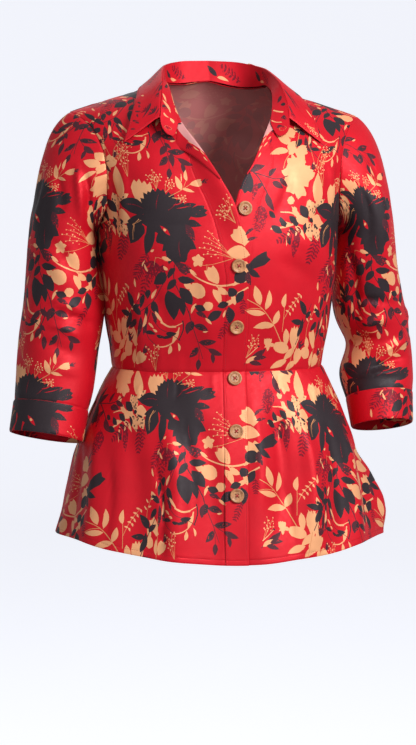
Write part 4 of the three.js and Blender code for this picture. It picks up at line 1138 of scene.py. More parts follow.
def satin_material():
    m = Nodes("printed_satin")
    place = m.uv()
    ink, dry, speck = m.corner("ink", "Color"), m.corner("dry", "Fac"), m.corner("speck", "Fac")
    # ink that breaks up where it was printed dry
    grain = m.spread(m.noise(place, 420.0, 3.0, 0.6), 0.32, 0.68)
    solid = m.maths("MULTIPLY_ADD", m.maths("SUBTRACT", grain, dry), 5.0, 1.0, clamp=True)
    printed = m.blend(solid, (*INKS["red"], 1), ink)
    # dark dashes on the speckled leaves
    cells = m.add("TexVoronoi", {"Vector": m.scaled(place, 1.0, 0.55, 1.0), "Scale": 430.0}).outputs
    dash = m.maths("MULTIPLY_ADD", cells["Distance"], -9.0, 3.6, clamp=True)
    dash = m.maths("MULTIPLY", dash, speck)
    marked = m.blend(dash, printed, (*INKS["black"], 1))
    # dye that took a little unevenly
    cloud = m.spread(m.noise(place, 28.0, 3.0), 0.3, 0.7, 0.92, 1.05)
    tone = m.add("VectorMath", {0: marked, "Scale": cloud}, operation="SCALE").outputs[0]
    # the weave: floats of the satin across fine threads, and slubs
    x, y, _ = m.add("SeparateXYZ", {0: place}).outputs
    threads, picks = m.wave(x, METRE_THREAD), m.wave(m.maths("MULTIPLY_ADD", x, 0.6, y), METRE_PICK)
    weave = m.maths("MULTIPLY_ADD", m.maths("MULTIPLY", threads, picks), 0.3, m.noise(place, 900.0))
    relief = m.maths("MULTIPLY_ADD", m.noise(place, 70.0, 4.0), 5.0, weave)
    m.put(m.shader, {
        "Base Color": tone, "Normal": m.bump(relief, 0.25, 0.0002), "Metallic": 0.22,
        "Roughness": m.spread(m.noise(place, 160.0, 3.0), 0.3, 0.7, 0.46, 0.56), "Specular IOR Level": 0.22,
        "Sheen Weight": 0.03, "Sheen Roughness": 0.35, "Sheen Tint": (1, 0.75, 0.75, 1)})
    return m.material


def thread_material():
    m = Nodes("sewing_thread")
    x, y, _ = m.add("SeparateXYZ", {0: m.uv()}).outputs
    ply = m.wave(m.maths("ADD", x, y), METRE_PLY)
    # painted shade: the thread is darker down in the grooves of its twist and lighter on the crests of the
    # plies, in step with the bump
    ply_shade = m.spread(ply, -1.0, 1.0)
    m.put(m.shader, {"Base Color": m.blend(ply_shade, (*srgb(126, 12, 26), 1), (*srgb(176, 26, 40), 1)),
                     "Normal": m.bump(ply, 0.4, 0.0001), "Roughness": 0.5})
    return m.material


def button_material():
    """Turned corozo: brown, with short darker grain and fine rings from the lathe, whose grooves are also
    painted a little darker as shade.
    """
    m = Nodes("corozo")
    reach = m.add("VectorMath", {0: m.uv()}, operation="LENGTH").outputs["Value"]
    where = m.add("NewGeometry").outputs["Position"]
    grain = m.noise(m.scaled(where, 1.0, 1.0, 0.25), 900.0, 4.0, 0.65)
    cloud = m.noise(where, 160.0, 3.0)
    rings = m.wave(m.maths("MULTIPLY_ADD", cloud, 0.0005, reach), METRE_RING)
    tone = m.maths("MULTIPLY_ADD", grain, 0.8, m.maths("MULTIPLY_ADD", cloud, 0.5, -0.2))
    # painted shade: the lathe rings darken the colour a little in their grooves and lighten it on their
    # crests, as the bump does; the grain and the cloud are the nut's own colour
    base = m.add("ValToRGB", {0: m.maths("MULTIPLY_ADD", rings, 0.07, tone)})
    dark, light = base.color_ramp.elements
    dark.position, dark.color = 0.22, (*srgb(112, 68, 40), 1)
    light.position, light.color = 0.72, (*srgb(206, 150, 104), 1)
    base.color_ramp.elements.new(0.48).color = (*srgb(176, 120, 78), 1)
    relief = m.maths("MULTIPLY_ADD", rings, 0.5, grain)
    m.put(m.shader, {"Base Color": base.outputs["Color"], "Normal": m.bump(relief, 0.3, 0.00012),
                     "Roughness": m.spread(grain, 0.3, 0.7, 0.36, 0.52)})
    return m.material


SATIN, THREAD, BUTTON = satin_material(), thread_material(), button_material()


# ---- meshes -------------------------------------------------------------------------------------
def made(name, verts, faces, uv, material):
    """A piece from vertices and flat places in millimetres, riding on the garment's one body."""
    mesh = bpy.data.meshes.new(name)
    mesh.from_pydata((np.asarray(verts) * MM).tolist(), [], faces)
    mesh.shade_smooth()
    mesh.materials.append(material)
    vertex = np.empty(len(mesh.loops), dtype=np.int32)
    mesh.loops.foreach_get("vertex_index", vertex)
    places = (np.asarray(uv) * MM).astype(np.float32)[vertex]
    mesh.uv_layers.new(name="cloth").data.foreach_set("uv", places.ravel())
    piece = bpy.data.objects.new(name, mesh)
    bpy.context.scene.collection.objects.link(piece)
    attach(piece, "root")
    return piece


def put_corners(mesh, name, kind, key, values):
    layer = mesh.attributes.new(name, kind, "CORNER")
    layer.data.foreach_set(key, np.asarray(values, np.float32).ravel())


def triangulated(points, outlines, near):
    """Vertices and triangles of flat points, joined along the outlines."""
    joined = np.vstack([np.stack([loop, np.roll(loop, -1)], -1) for loop in outlines])
    out = delaunay_2d_cdt([Vector(p) for p in points.tolist()], joined.tolist(), [], 0, near, False)
    return np.array([tuple(v) for v in out[0]]), np.array(out[2])


def open_sides(tris, n):
    """The sides that only one triangle has, of triangles over n vertices."""
    sides = np.vstack([tris[:, [0, 1]], tris[:, [1, 2]], tris[:, [2, 0]]])
    keys = np.sort(sides, axis=1)
    _, first, counts = np.unique(keys[:, 0] * n + keys[:, 1], return_index=True, return_counts=True)
    return sides[first[counts == 1]]


def tube(base, rings, sides):
    """Faces of a closed tube of rings of vertices, from vertex base on."""
    def at(i, k):
        return base + i * sides + k % sides

    faces = [[at(i, k), at(i, k + 1), at(i + 1, k + 1), at(i + 1, k)]
             for i in range(rings - 1) for k in range(sides)]
    return faces + [[at(0, k) for k in range(sides)][::-1], [at(rings - 1, k) for k in range(sides)]]


# ---- the form of sewn cloth ---------------------------------------------------------------------
EDGE_STEPS = (0.35, 0.8, 1.5, 2.6, 4.5)       # places of the extra rows of a mesh beside a shaped edge
GROOVE_STEPS = (-1.6, -0.7, 0, 0.7, 1.6)      # and about a row of stitches
LEAST_GAP = 0.12                              # between two rows of a mesh
STEP = 2e-3                                   # step over which a surface's slope is measured
TUCK, ALLOWANCE, TUCK_REACH = 0.8, 1.1, 0.6   # how a seam's edge turns down and in under its neighbour
PUCKER_REACH, GROOVE_REACH = 7, 0.9
CREASE_BOW = 0.06                             # share of its length by which a crease bows
CREASE_START, CREASE_END = (-0.15, 0.3), (1.15, 0.6)  # shares of its length where it rises and falls
CREASE_NARROW, CREASE_WIDEN, CREASE_SHARP = 0.65, 0.5, 2.2
WAVE_LENGTHS = (95, 70, 48, 34)
PRINT_REACH = 60.0                            # how far outside a piece its motifs are still drawn
REVERSE_SHARE = 0.2                           # how much of the print shows through to the reverse
GROUND = (None, INK_NAMES.index("red"), np.zeros((2, 2)), (0, 0), 0.0)


def creased(creases, flat):
    """How far the cloth stands out at each place: rows of (x0, y0, x1, y1, width, height)."""
    out = np.zeros(len(flat))
    for x0, y0, x1, y1, width, height in creases:
        way = np.array([x1 - x0, y1 - y0], float)
        length = np.hypot(*way)
        way /= length
        away = flat - [x0, y0]
        t = away @ way / length
        bow = away @ [-way[1], way[0]] - CREASE_BOW * length * np.sin(np.pi * np.clip(t, 0, 1))
        taper = smooth(*CREASE_START, t) * smooth(*CREASE_END, t)
        spread = width * (CREASE_NARROW + CREASE_WIDEN * np.clip(t, 0, 1))
        out += height * taper * np.exp(-((bow / spread) ** 2) * CREASE_SHARP)
    return out


def drape(flat, depth, seed):
    """Faint unevenness of cloth that hangs: a few long waves that cross."""
    rng = random.Random(seed)
    out = np.zeros(len(flat))
    for length in WAVE_LENGTHS:
        turn = math.radians(rng.uniform(55, 125))
        place = flat @ [math.cos(turn + QUARTER), math.sin(turn + QUARTER)]
        along = flat @ [math.cos(turn), math.sin(turn)]
        start, sway = rng.uniform(0, 6), 1.3 * np.sin(along / length * 1.9 + rng.uniform(0, 6))
        wave = place / length * 2 * math.pi + start + sway
        share = length / WAVE_LENGTHS[0]
        out += depth * share * np.sin(wave) * (0.6 + 0.4 * np.sin(along / 60 + rng.uniform(0, 6)))
    return out


def edge_ways(uv, size):
    """Distance from each of the four edges, and the place along it."""
    (u, v), (w, l) = uv.T, size
    return {"u0": (u * w, v * l), "u1": ((1 - u) * w, v * l),
            "v0": (v * l, u * w), "v1": ((1 - v) * l, u * w)}


def edge_shape(edges, uv, size):
    """Rows of edge: (depth, reach, pucker): the cloth bends in there, and puckers along a seam."""
    out = np.zeros(len(uv))
    ways = edge_ways(uv, size)
    for edge, (depth, reach, pucker) in edges.items():
        away, along = ways[edge]
        wave = np.sin(along / 3.1 + 2.2 * np.sin(along / 17)) * np.sin(along / 41 + 1)
        out -= depth * np.exp(-((away / reach) ** 2))
        out += pucker * np.exp(-((away / PUCKER_REACH) ** 2)) * (1 - np.exp(-away)) * wave
    return out


def grooved(grooves, uv, size):
    """Rows of (edge, distance, depth): the line that a row of stitches draws in."""
    out = np.zeros(len(uv))
    ways = edge_ways(uv, size)
    for edge, distance, depth in grooves:
        away, along = ways[edge]
        pull = 1 + 0.5 * np.sin(along / 2.6 + 1.7 * np.sin(along / 13))
        out -= depth * pull * np.exp(-(((away - distance) / GROOVE_REACH) ** 2))
    return out


def lines(count, size, marks):
    """Rows of a mesh from 0 to 1, with more of them at these distances from its start or end."""
    at = list(np.linspace(0, 1, count + 1)) + [m / size if m >= 0 else 1 + m / size for m in marks]
    at = sorted(a for a in at if 0 <= a <= 1)
    return np.array([a for a, b in zip(at, at[1:] + [2]) if b - a > LEAST_GAP / size])


class Sewn:
    """A piece of cloth as it is sewn in: its surface, standing out by its creases and edges."""

    def __init__(self, cloth, lift=0.0, creases=(), waves=(0.0, 0), edges=None, grooves=(), shape=None):
        self.cloth, self.lift, self.creases, self.waves = cloth, lift, creases, waves
        self.edges, self.grooves, self.shape = edges or {}, grooves, shape

    def height(self, uv):
        flat = self.cloth.flat(uv)
        out = self.lift + creased(self.creases, flat) + edge_shape(self.edges, uv, self.cloth.size)
        out += grooved(self.grooves, uv, self.cloth.size)
        if self.waves[0]:
            out += drape(flat, *self.waves)
        return out + self.shape(uv) if self.shape else out

    def marks(self):
        """Distances from the start and, below 0, from the end of u and of v, for extra rows."""
        out = {"u": [], "v": []}
        rows = [(edge, step) for edge in self.edges for step in EDGE_STEPS]
        rows += [(edge, away + step) for edge, away, _ in self.grooves for step in GROOVE_STEPS]
        for edge, away in rows:
            out[edge[0]].append(away if edge[1] == "0" else -away)
        return out

    def at(self, uv):
        """Places of the outer face, and its normals without and with the creases."""
        flip, surface = self.cloth.flip, self.cloth.surface
        inside = np.clip(uv, STEP, 1 - STEP)
        bare, tilted = [], []
        for axis in (0, 1):
            shift = np.eye(2)[axis] * STEP
            ahead, behind = inside + shift, inside - shift
            run = surface(*ahead.T) - surface(*behind.T)
            bare.append(run)
            tilted.append((run, self.height(ahead) - self.height(behind)))
        normal = unit(np.cross(*bare)) * flip
        shade = unit(np.cross(*[run + normal * rise[:, None] for run, rise in tilted])) * flip
        return surface(*uv.T) + normal * self.height(uv)[:, None], normal, shade

    def reverse(self, uv, normal, thick):
        """Where the reverse lies from the outer face: turned in under its neighbour at each seam."""
        out, surface = -normal * thick, self.cloth.surface
        ways = edge_ways(uv, self.cloth.size)
        inside = np.clip(uv, STEP, 1 - STEP)
        for edge, (_, _, pucker) in self.edges.items():
            if pucker:
                shift = np.eye(2)["uv".index(edge[0])] * STEP * (1 if edge[1] == "1" else -1)
                beyond = unit(surface(*(inside + shift).T) - surface(*(inside - shift).T))
                share = np.exp(-((ways[edge][0] / TUCK_REACH) ** 2))[:, None]
                out += share * (beyond * ALLOWANCE - normal * TUCK)
        return out


# ---- cloth meshes -------------------------------------------------------------------------------
def inside_loop(loop, x, y):
    hit = np.zeros(len(x), bool)
    for (ax, ay), (bx, by) in zip(loop, np.roll(loop, -1, axis=0)):
        if ay != by:
            hit ^= ((ay > y) != (by > y)) & (x < (bx - ax) * (y - ay) / (by - ay) + ax)
    return hit


def uppermost(loops, places):
    """For each place the number, from 1, of the last outline that covers it, or 0."""
    own = np.zeros(len(places), int)
    by_u = np.argsort(places[:, 0])
    sorted_u = places[by_u, 0]
    for k, loop in enumerate(loops, 1):
        (u0, v0), (u1, v1) = loop.min(0), loop.max(0)
        near = by_u[np.searchsorted(sorted_u, u0):np.searchsorted(sorted_u, u1)]
        near = near[(places[near, 1] > v0) & (places[near, 1] < v1)]
        own[near[inside_loop(loop, *places[near].T)]] = k
    return own


def motifs_on(cloth, tiles, patches):
    """Each motif that reaches the piece, with its outline over (u, v)."""
    low, high = cloth.flat_grid.min((0, 1)) - 2, cloth.flat_grid.max((0, 1)) + 2
    rows = [row for row in laid(tiles) if (row[0].max(0) > low).all() and (row[0].min(0) < high).all()]
    ends = np.cumsum([len(row[0]) for row in rows])[:-1]
    loops = np.split(cloth.locate(np.vstack([row[0] for row in rows])), ends) if rows else []
    rows += [(loop, INK_NAMES.index(ink), *GROUND[2:]) for loop, ink in patches]
    loops += [np.array(loop) for loop, _ in patches]
    beyond = PRINT_REACH / cloth.size
    return [(row, np.clip(loop, -beyond, 1 + beyond)) for row, loop in zip(rows, loops)
            if ((loop > 0) & (loop < 1)).all(1).any()]


def cut_print(sewn, tiles, patches, spacing):
    """The outer face as triangles over (u, v), cut along the print, each one's motif, and the motifs."""
    size, marks = sewn.cloth.size, sewn.marks()
    count = np.maximum(3, np.round(size / spacing).astype(int))
    us, vs = lines(count[0], size[0], marks["u"]), lines(count[1], size[1], marks["v"])
    edge = [(u, 0) for u in us] + [(1, v) for v in vs[1:]] + [(u, 1) for u in us[-2::-1]]
    edge += [(0, v) for v in vs[-2:0:-1]]
    rows = motifs_on(sewn.cloth, tiles, patches)
    points = [np.array(edge + [(u, v) for u in us[1:-1] for v in vs[1:-1]])] + [loop for _, loop in rows]
    starts = np.cumsum([len(part) for part in points])
    outlines = [np.arange(len(edge))] + [np.arange(a, b) for a, b in zip(starts, starts[1:])]
    verts, tris = triangulated(np.vstack(points) * size, outlines, 1e-4)
    verts = verts / size
    middle = verts[tris].mean(1)
    inside = ((middle > 0) & (middle < 1)).all(1)
    tris, middle = tris[inside], middle[inside]
    used, kept = np.unique(tris, return_inverse=True)
    motifs = [GROUND] + [row for row, _ in rows]
    return np.clip(verts[used], 0, 1), kept.reshape(-1, 3), uppermost(points[1:], middle), motifs


def cloth_mesh(name, sewn, thick, tiles, patches=(), doubled=False, spacing=5):
    """A closed thin shell on a sewn piece, its print cut into the mesh.

    Returns the piece, its places on the flat pattern and the area of its cut.
    """
    uv, tris, own, motifs = cut_print(sewn, tiles, patches, spacing)
    flat = sewn.cloth.flat(uv)
    outer, normal, shade = sewn.at(uv)
    n = len(outer)
    order = tris if sewn.cloth.flip > 0 else tris[:, ::-1]
    rim = open_sides(order, n)
    faces = order.tolist() + (order[:, ::-1] + n).tolist() + [[b, a, a + n, b + n] for a, b in rim.tolist()]
    verts = np.vstack([outer, outer + sewn.reverse(uv, normal, thick)])
    piece = made(name, verts, faces, np.vstack([flat, flat]), SATIN)
    piece.data.normals_split_custom_set_from_vertices(np.vstack([shade, -shade]).tolist())

    # the print at each corner of the outer face, the reverse and the rim
    inks, axes, dries, specks = (np.array(column) for column in zip(*(row[1:] for row in motifs)))
    corners = flat[order]
    base, way = axes[own, 0][:, None], axes[own, 1] - axes[own, 0]
    t = ((corners - base) * way[:, None]).sum(-1) / np.maximum((way**2).sum(-1), 1e-6)[:, None]
    dry = mix(dries[own, 0][:, None], dries[own, 1][:, None], np.clip(t, 0, 1))
    shown = np.repeat(np.array(list(INKS.values()))[inks[own]], 3, 0)
    speck = np.repeat(specks[own], 3)
    reverse = mix(np.array(INKS["pale"]), shown, 1.0 if doubled else REVERSE_SHARE)
    rest = 4 * len(rim)
    colours = np.vstack([shown, reverse, np.broadcast_to(INKS["red"], (rest, 3))])
    colours = np.hstack([colours, np.ones((len(colours), 1))])
    put_corners(piece.data, "ink", "FLOAT_COLOR", "color", colours)
    for key, values, back in (("dry", dry.ravel(), dry[:, ::-1].ravel()), ("speck", speck, speck)):
        values = np.concatenate([values, back * doubled, np.zeros(rest)])
        put_corners(piece.data, key, "FLOAT", "value", values)
    a, b = corners[:, 1] - corners[:, 0], corners[:, 2] - corners[:, 0]
    return piece, flat, np.abs(a[:, 0] * b[:, 1] - a[:, 1] * b[:, 0]).sum() / 2


# ---- the pieces of cloth ------------------------------------------------------------------------
def turned(surface):
    """A tube cut open at the underarm, so that its middle is on the outside."""
    return lambda u, v: surface(u - 0.5, v)


def seam_place(surface):
    return lambda vs: surface(np.ones_like(vs), vs)[..., 0]


FRONT_PRINT = [
    tile(130, 408), tile(-126, 419, without("tan_sprigs", "twigs")), tile(168, 168, turn=-6),
    tile(-88, 179), tile(-316, 190), tile(-354, 430), tile(0, 0, ["band_spray"])]
PEPLUM_PRINT = [tile(x, y, wide=0.72) for x, y in ((343, -78), (132, -64), (-75, -50), (-298, -78))]
SLEEVES_PRINT = {
    "right": [*lattice(28, 21, across=(215, -8), down=(-16, 246)),
              tile(246, 35, ["tan_flower", "tan_leaves"], turn=25)],
    "left": [*but(lattice(-92, 20, across=(215, -8), down=(-1.5, 229), wide=0.85),
                  (-93, 249, []), (-92, 20, without("tan_flower", "tan_leaves"))),
             tile(-115, 262, ["hanging"])],
}
CUFF_PRINT = {"right": lattice(46, -26), "left": lattice(-50, 36)}

# How the cloth bends in at its edges: depth, reach, pucker.
SEAMED, WAISTED, UNDERARM, CUFFED = (0.5, 1.8, 0.25), (0.6, 2.2, 0.3), (0.5, 2.0, 0.2), (0.6, 1.4, 0.1)
LAPPED, FOLDED, HEMMED, CUFF_EDGE = (0.35, 1.1, 0.0), (0.8, 1.0, 0.0), (0.4, 0.8, 0.0), (0.8, 1.3, 0.0)
TURNED_SEAM, TURNED_EDGE = (0.5, 0.9, 0.0), (0.4, 0.9, 0.0)
HEM, EDGE_STITCH, COLLAR_STITCH = 6.5, 2.6, 3.2  # distances of the stitching from the edges
BAND_GROOVES = (("u0", EDGE_STITCH, 0.12), ("u1", EDGE_STITCH, 0.15))
HEM_GROOVE = ("v1", HEM, 0.25)
THIN = 0.8  # thickness of a single layer
ROLL = {"sink": 4.6, "rise": 3.0, "band": 28.0, "level": 221.0}

# Creases on the flat pattern of each piece: start, end, width and height.
CREASES = {
    "front_right": (
        (-160, 235, -166, 165, 9, -3.8), (-140, 250, -150, 180, 12, 2.2),
        (-105, 110, -80, 20, 18, -2), (-44, 130, -34, 20, 15, 2), (-130, 100, -120, 10, 14, 2.2),
        (-92, 0, -88, 34, 6, 1.3), (-60, 0, -57, 26, 6, -1), (-118, 0, -122, 24, 5, -1.2)),
    "front_left": (
        (60, 142, 135, 85, 20, -3), (66, 172, 150, 128, 18, 2), (150, 250, 160, 190, 10, -3.8),
        (135, 255, 145, 200, 12, 2.4), (74, 250, 45, 185, 13, -2.4), (92, 70, 88, 5, 10, -2),
        (140, 60, 128, 5, 9, 1.8), (45, 100, 40, 10, 10, 1.6), (64, 0, 66, 26, 6, 1),
        (110, 240, 96, 190, 12, 1.6)),
    "sleeve_right": (
        (76, 88, 100, 8, 11, 4.6), (94, 76, 120, 14, 9, -4.4), (49, 78, 69, 20, 12, -3.2),
        (28, 60, 20, 10, 12, 2),
        (60, -82, 112, -105, 11, 2.6), (70, -96, 128, -121, 9, -3.4), (60, -112, 112, -136, 9, 2.6),
        (46, -133, 106, -158, 12, -2.4), (-20, 40, 10, -60, 20, 2.2), (10, 90, 22, 30, 14, -2.2),
        (40, -10, 78, -70, 14, 2.2), (56, -6, 96, -66, 12, -2.2), (40, -168, 110, -176, 10, 2),
        (-80, 60, -100, -40, 16, -2.9), (-125, 20, -112, -90, 14, 2.6), (152, 60, 154, -130, 26, 6.5),
        (-60, -90, -126, -112, 11, -3.1), (-50, -108, -120, -134, 10, 2.6), (0, -150, 40, -190, 14, -1.8),
        (-46, 120, -60, 60, 12, 2.1)),
    "sleeve_left": (
        (-110, -15, -112, -124, 14, -5.2), (-106, -118, -59, -107, 11, 4), (-130, -148, -84, -133, 9, -5.2),
        (-90, -156, -34, -142, 10, 4.8), (-94, -173, -42, -164, 8, -4), (-110, -188, -50, -180, 8, 3.2),
        (-95, 62, -85, -20, 13, -3.4), (-70, 84, -58, 0, 15, 2.9), (-46, -71, -62, 10, 14, 2.2),
        (-104, -78, -46, -92, 9, -3), (-30, -120, 24, -112, 12, 2.6), (-20, -140, 40, -136, 9, -3.1),
        (40, 60, 60, -40, 16, -2.9), (92, 20, 82, -90, 14, 2.9), (20, -92, 92, -112, 11, -2.9),
        (0, -168, 76, -156, 12, 2.6), (52, 118, 64, 60, 12, 2.1), (-52, 120, -62, 78, 9, -2.1)),
    "peplum_front_right": (
        (-86, -60, -88, -245, 24, 7.5), (-99, -110, -101, -245, 7, -3), (-40, -70, -36, -240, 24, -4.5),
        (-132, -50, -140, -225, 30, -5.5), (-184, -50, -200, -205, 24, 6), (-226, -50, -250, -190, 18, -4.5),
        (-62, -60, -64, -210, 9, -1.2), (-160, -90, -172, -205, 10, -1.8), (-118, 0, -124, -34, 6, 1.2),
        (-70, 0, -72, -30, 6, -1.1), (-24, 0, -26, -28, 5, 0.8)),
    "peplum_front_left": (
        (24, -40, 20, -200, 15, 3.2), (50, -34, 50, -215, 22, -7.5), (86, -46, 92, -240, 22, 7.5),
        (128, -60, 134, -230, 20, -6), (158, -50, 170, -225, 20, 5.5), (196, -36, 212, -190, 20, -6),
        (236, -60, 262, -200, 20, 7), (64, -140, 66, -230, 8, -1.6), (108, 0, 112, -32, 6, 1.2),
        (60, 0, 58, -28, 6, -1.1), (150, 10, 156, -22, 6, 1)),
    "back": (
        (-60, 8, -48, 122, 14, -2.4), (56, 12, 47, 112, 14, -2.4), (0, 14, 5, 150, 22, 2.2),
        (-122, 165, -88, 82, 14, -3.2), (120, 175, 92, 92, 14, -3.2), (-100, 304, -58, 250, 15, -2.4),
        (96, 312, 60, 262, 15, -2.4), (-134, 226, -142, 138, 12, 3.2), (134, 232, 140, 150, 12, 3.2),
        (-92, 0, -96, 34, 6, 1.3), (88, 0, 94, 30, 6, -1.2), (30, 60, -26, 92, 14, -2)),
    "peplum_back": (
        (-236, -60, -262, -200, 20, 7), (-196, -60, -212, -190, 18, -6), (-150, -30, -162, -225, 20, 6),
        (-112, -50, -122, -230, 18, -7), (-66, -34, -72, -236, 22, 7), (-22, -60, -24, -236, 18, -6),
        (22, -28, 28, -236, 22, 6.5), (66, -54, 74, -236, 18, -7), (112, -36, 122, -230, 20, 6.5),
        (152, -60, 166, -220, 18, -6), (184, -50, 200, -205, 24, 6), (226, -50, 250, -190, 18, -4.5),
        (-20, 0, -22, -30, 6, 0.8)),
}
WAVES = {"front_right": 0.5, "front_left": 0.5, "back": 0.6, "peplum_front_right": 0.7,
         "peplum_front_left": 0.7, "peplum_back": 0.7, "sleeve_right": 0.7, "sleeve_left": 0.7}
# Where the reverse of the folded front shows beside the opening: level, share of the turned width.
PALE = {
    "right": table("z share", (-43, 1.1), (-60, 1.1), (-66, 0.78), (-72, 0.56), (-80, 0.34), (-88, 0.14),
                   (-94, 0)),
    "left": table("z share", (-49, 1.1), (-61, 1.1), (-64, 0.82), (-68, 0.4), (-71, 0.18), (-74, 0)),
}
SEWN = {}


def dress(node, cloth, thick, held="draped", rests_on=(), tiles=(), patches=(), doubled=False, spacing=5,
          **shape):
    """A CAD solid's cloth: its mesh, body, node and cut."""
    if node in CREASES:
        shape |= {"creases": CREASES[node], "waves": (WAVES[node], len(node))}
    SEWN[node] = Sewn(cloth, **shape)
    piece, flat, area = cloth_mesh(node + "_cloth", SEWN[node], thick, tiles, patches, doubled, spacing)
    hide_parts(node)


def rolled(share, level):
    """The over front rolls up toward its free edge beside the opening.

    The share is 0 at the placket's seam, 1 at its edge and less than 0 on the front.
    """
    band = mix(-ROLL["sink"], ROLL["rise"], smooth(0, 1, share))
    rise = np.where(share > 0, band, -ROLL["sink"] * smooth(-2.2, 0, share))
    return rise * smooth(140, 195, level) * smooth(306, 278, level)


def front_roll(cloth):
    return lambda uv: rolled((uv[:, 0] - 1) * cloth.size[0] / ROLL["band"], cloth.flat(uv)[:, 1])


def placket_roll(cloth):
    return lambda uv: rolled(uv[:, 0], cloth.flat(uv)[:, 1])


def turned_roll(cloth, side):
    def rise(uv):
        flat = cloth.flat(uv)
        out = mix(CLOTH + TURN_SPACE, 0.5, smooth(0.6, 0.95, uv[:, 1]))
        if side == "right":
            out = out + rolled(1 - np.abs(flat[:, 0]) / ROLL["band"], ROLL["level"] + flat[:, 1])
        return out
    return rise


def pale_patch(side):
    rows, turned_rows = PALE[side], TURNED[side]["z"]
    vs = (rows["z"] - turned_rows[-1]) / (turned_rows[0] - turned_rows[-1])
    return [([(-0.2, vs[0] + 0.2)] + list(zip(rows["share"], vs)) + [(-0.2, vs[-1])], "pale")]


for side, sign in SIGN.items():
    over = side == "right"
    bodice = front(side)
    cut = Cloth(bodice, -sign, -sign, 1.0, 0.0, 1, offset=seam_place(bodice))
    dress(f"front_{side}", cut, THIN, tiles=FRONT_PRINT, shape=front_roll(cut) if over else None,
          edges={"u0": SEAMED, "u1": LAPPED, "v0": WAISTED, "v1": SEAMED})
    band = placket(side)
    cut = Cloth(band, -sign, -sign, 1.0, 0.0, 1, offset=seam_place(band))
    dress(f"placket_{side}", cut, BAND, "folded", [f"front_{side}"], tiles=FRONT_PRINT, doubled=True,
          edges={"u0": LAPPED, "u1": FOLDED, "v0": WAISTED}, grooves=BAND_GROOVES, spacing=4.5,
          lift=PLACKET_BED[side], shape=placket_roll(cut) if over else None)
    cut = Cloth(turned_edge(side), sign, sign, 0.0, 0.0, 1)
    dress(f"turned_edge_{side}", cut, THIN, "folded", [f"front_{side}"], doubled=True, spacing=3,
          tiles=[tile(0, 0, ["turned_flecks"])], patches=pale_patch(side), shape=turned_roll(cut, side),
          edges={"u0": TURNED_SEAM, "u1": TURNED_EDGE})
    skirt = peplum_front(side)
    cut = Cloth(skirt, sign, -sign, 1.0, 0.0, -1, offset=seam_place(skirt), sector=True)
    dress(f"peplum_front_{side}", cut, THIN, "hung", [f"front_{side}"], tiles=PEPLUM_PRINT,
          edges={"u0": SEAMED, "u1": LAPPED, "v0": WAISTED, "v1": HEMMED}, grooves=[HEM_GROOVE])
    cut = Cloth(peplum_placket(side), sign, -sign, 0.5, 0.0, -1, offset=centre_x)
    dress(f"peplum_placket_{side}", cut, BAND, "folded", [f"placket_{side}"], tiles=PEPLUM_PRINT,
          doubled=True, edges={"u0": LAPPED, "u1": FOLDED, "v0": WAISTED, "v1": HEMMED}, spacing=4.5,
          grooves=[*BAND_GROOVES, ("v1", HEM, 0.2)], lift=PLACKET_BED[side])
    cut = Cloth(turned(sleeve(side)), sign, -sign, 0.5, CAP_SHARE, -1)
    dress(f"sleeve_{side}", cut, THIN, "draped", [f"front_{side}", "back"], tiles=SLEEVES_PRINT[side],
          edges={"u0": UNDERARM, "u1": UNDERARM, "v0": SEAMED, "v1": WAISTED})
    cut = Cloth(turned(cuff(side)), sign, -sign, 0.5, 0.0, -1)
    dress(f"cuff_{side}", cut, BAND, "folded", [f"sleeve_{side}"], tiles=CUFF_PRINT[side], doubled=True,
          edges={"u0": LAPPED, "u1": LAPPED, "v0": CUFFED, "v1": CUFF_EDGE}, spacing=4.5)
dress("back", Cloth(back, 1, 1, 0.5, 0.0, 1), THIN, tiles=lattice(-30, 150),
      edges={"u0": SEAMED, "u1": SEAMED, "v0": WAISTED, "v1": SEAMED})
dress("peplum_back", Cloth(peplum_back, -1, 1, 0.5, 0.0, -1, sector=True), THIN, "hung", ["back"],
      tiles=lattice(20, -70, wide=0.85), grooves=[HEM_GROOVE],
      edges={"u0": SEAMED, "u1": SEAMED, "v0": WAISTED, "v1": HEMMED})
dress("collar_stand", Cloth(collar_stand, -1, -1, 0.5, 0.0, 1, plain=True), BAND, "folded",
      ["front_right", "front_left", "back"], tiles=[tile(0, 0, ["stand_ends"])], doubled=True,
      edges={"u0": FOLDED, "u1": FOLDED}, spacing=4)
dress("collar_leaf", Cloth(collar_leaf, 1, -1, 0.5, 0.0, -1, plain=True), BAND, "folded", ["collar_stand"],
      tiles=[tile(-52, 26, ["dark_leaves"]), tile(0, 0, ["collar_ends"])], doubled=True, spacing=4,
      edges={"u0": FOLDED, "u1": FOLDED, "v1": FOLDED},
      grooves=[(edge, COLLAR_STITCH, 0.12) for edge in ("u0", "u1", "v1")])


# ---- stitching ----------------------------------------------------------------------------------
STITCH = table(
    "along across rise", (-1, 0.2, -0.4), (-0.8, 0.7, 0.1), (0, 1, 0.7), (0.8, 0.7, 0.1), (1, 0.2, -0.4))
PITCH, LENGTH, WIDTH = 2.9, 2.1, 0.42  # of one stitch
SUNK, STITCH_HEIGHT = 0.2, 0.45        # how far it is sunk in, and half its height, as shares of its width
LINE_STEPS = 401


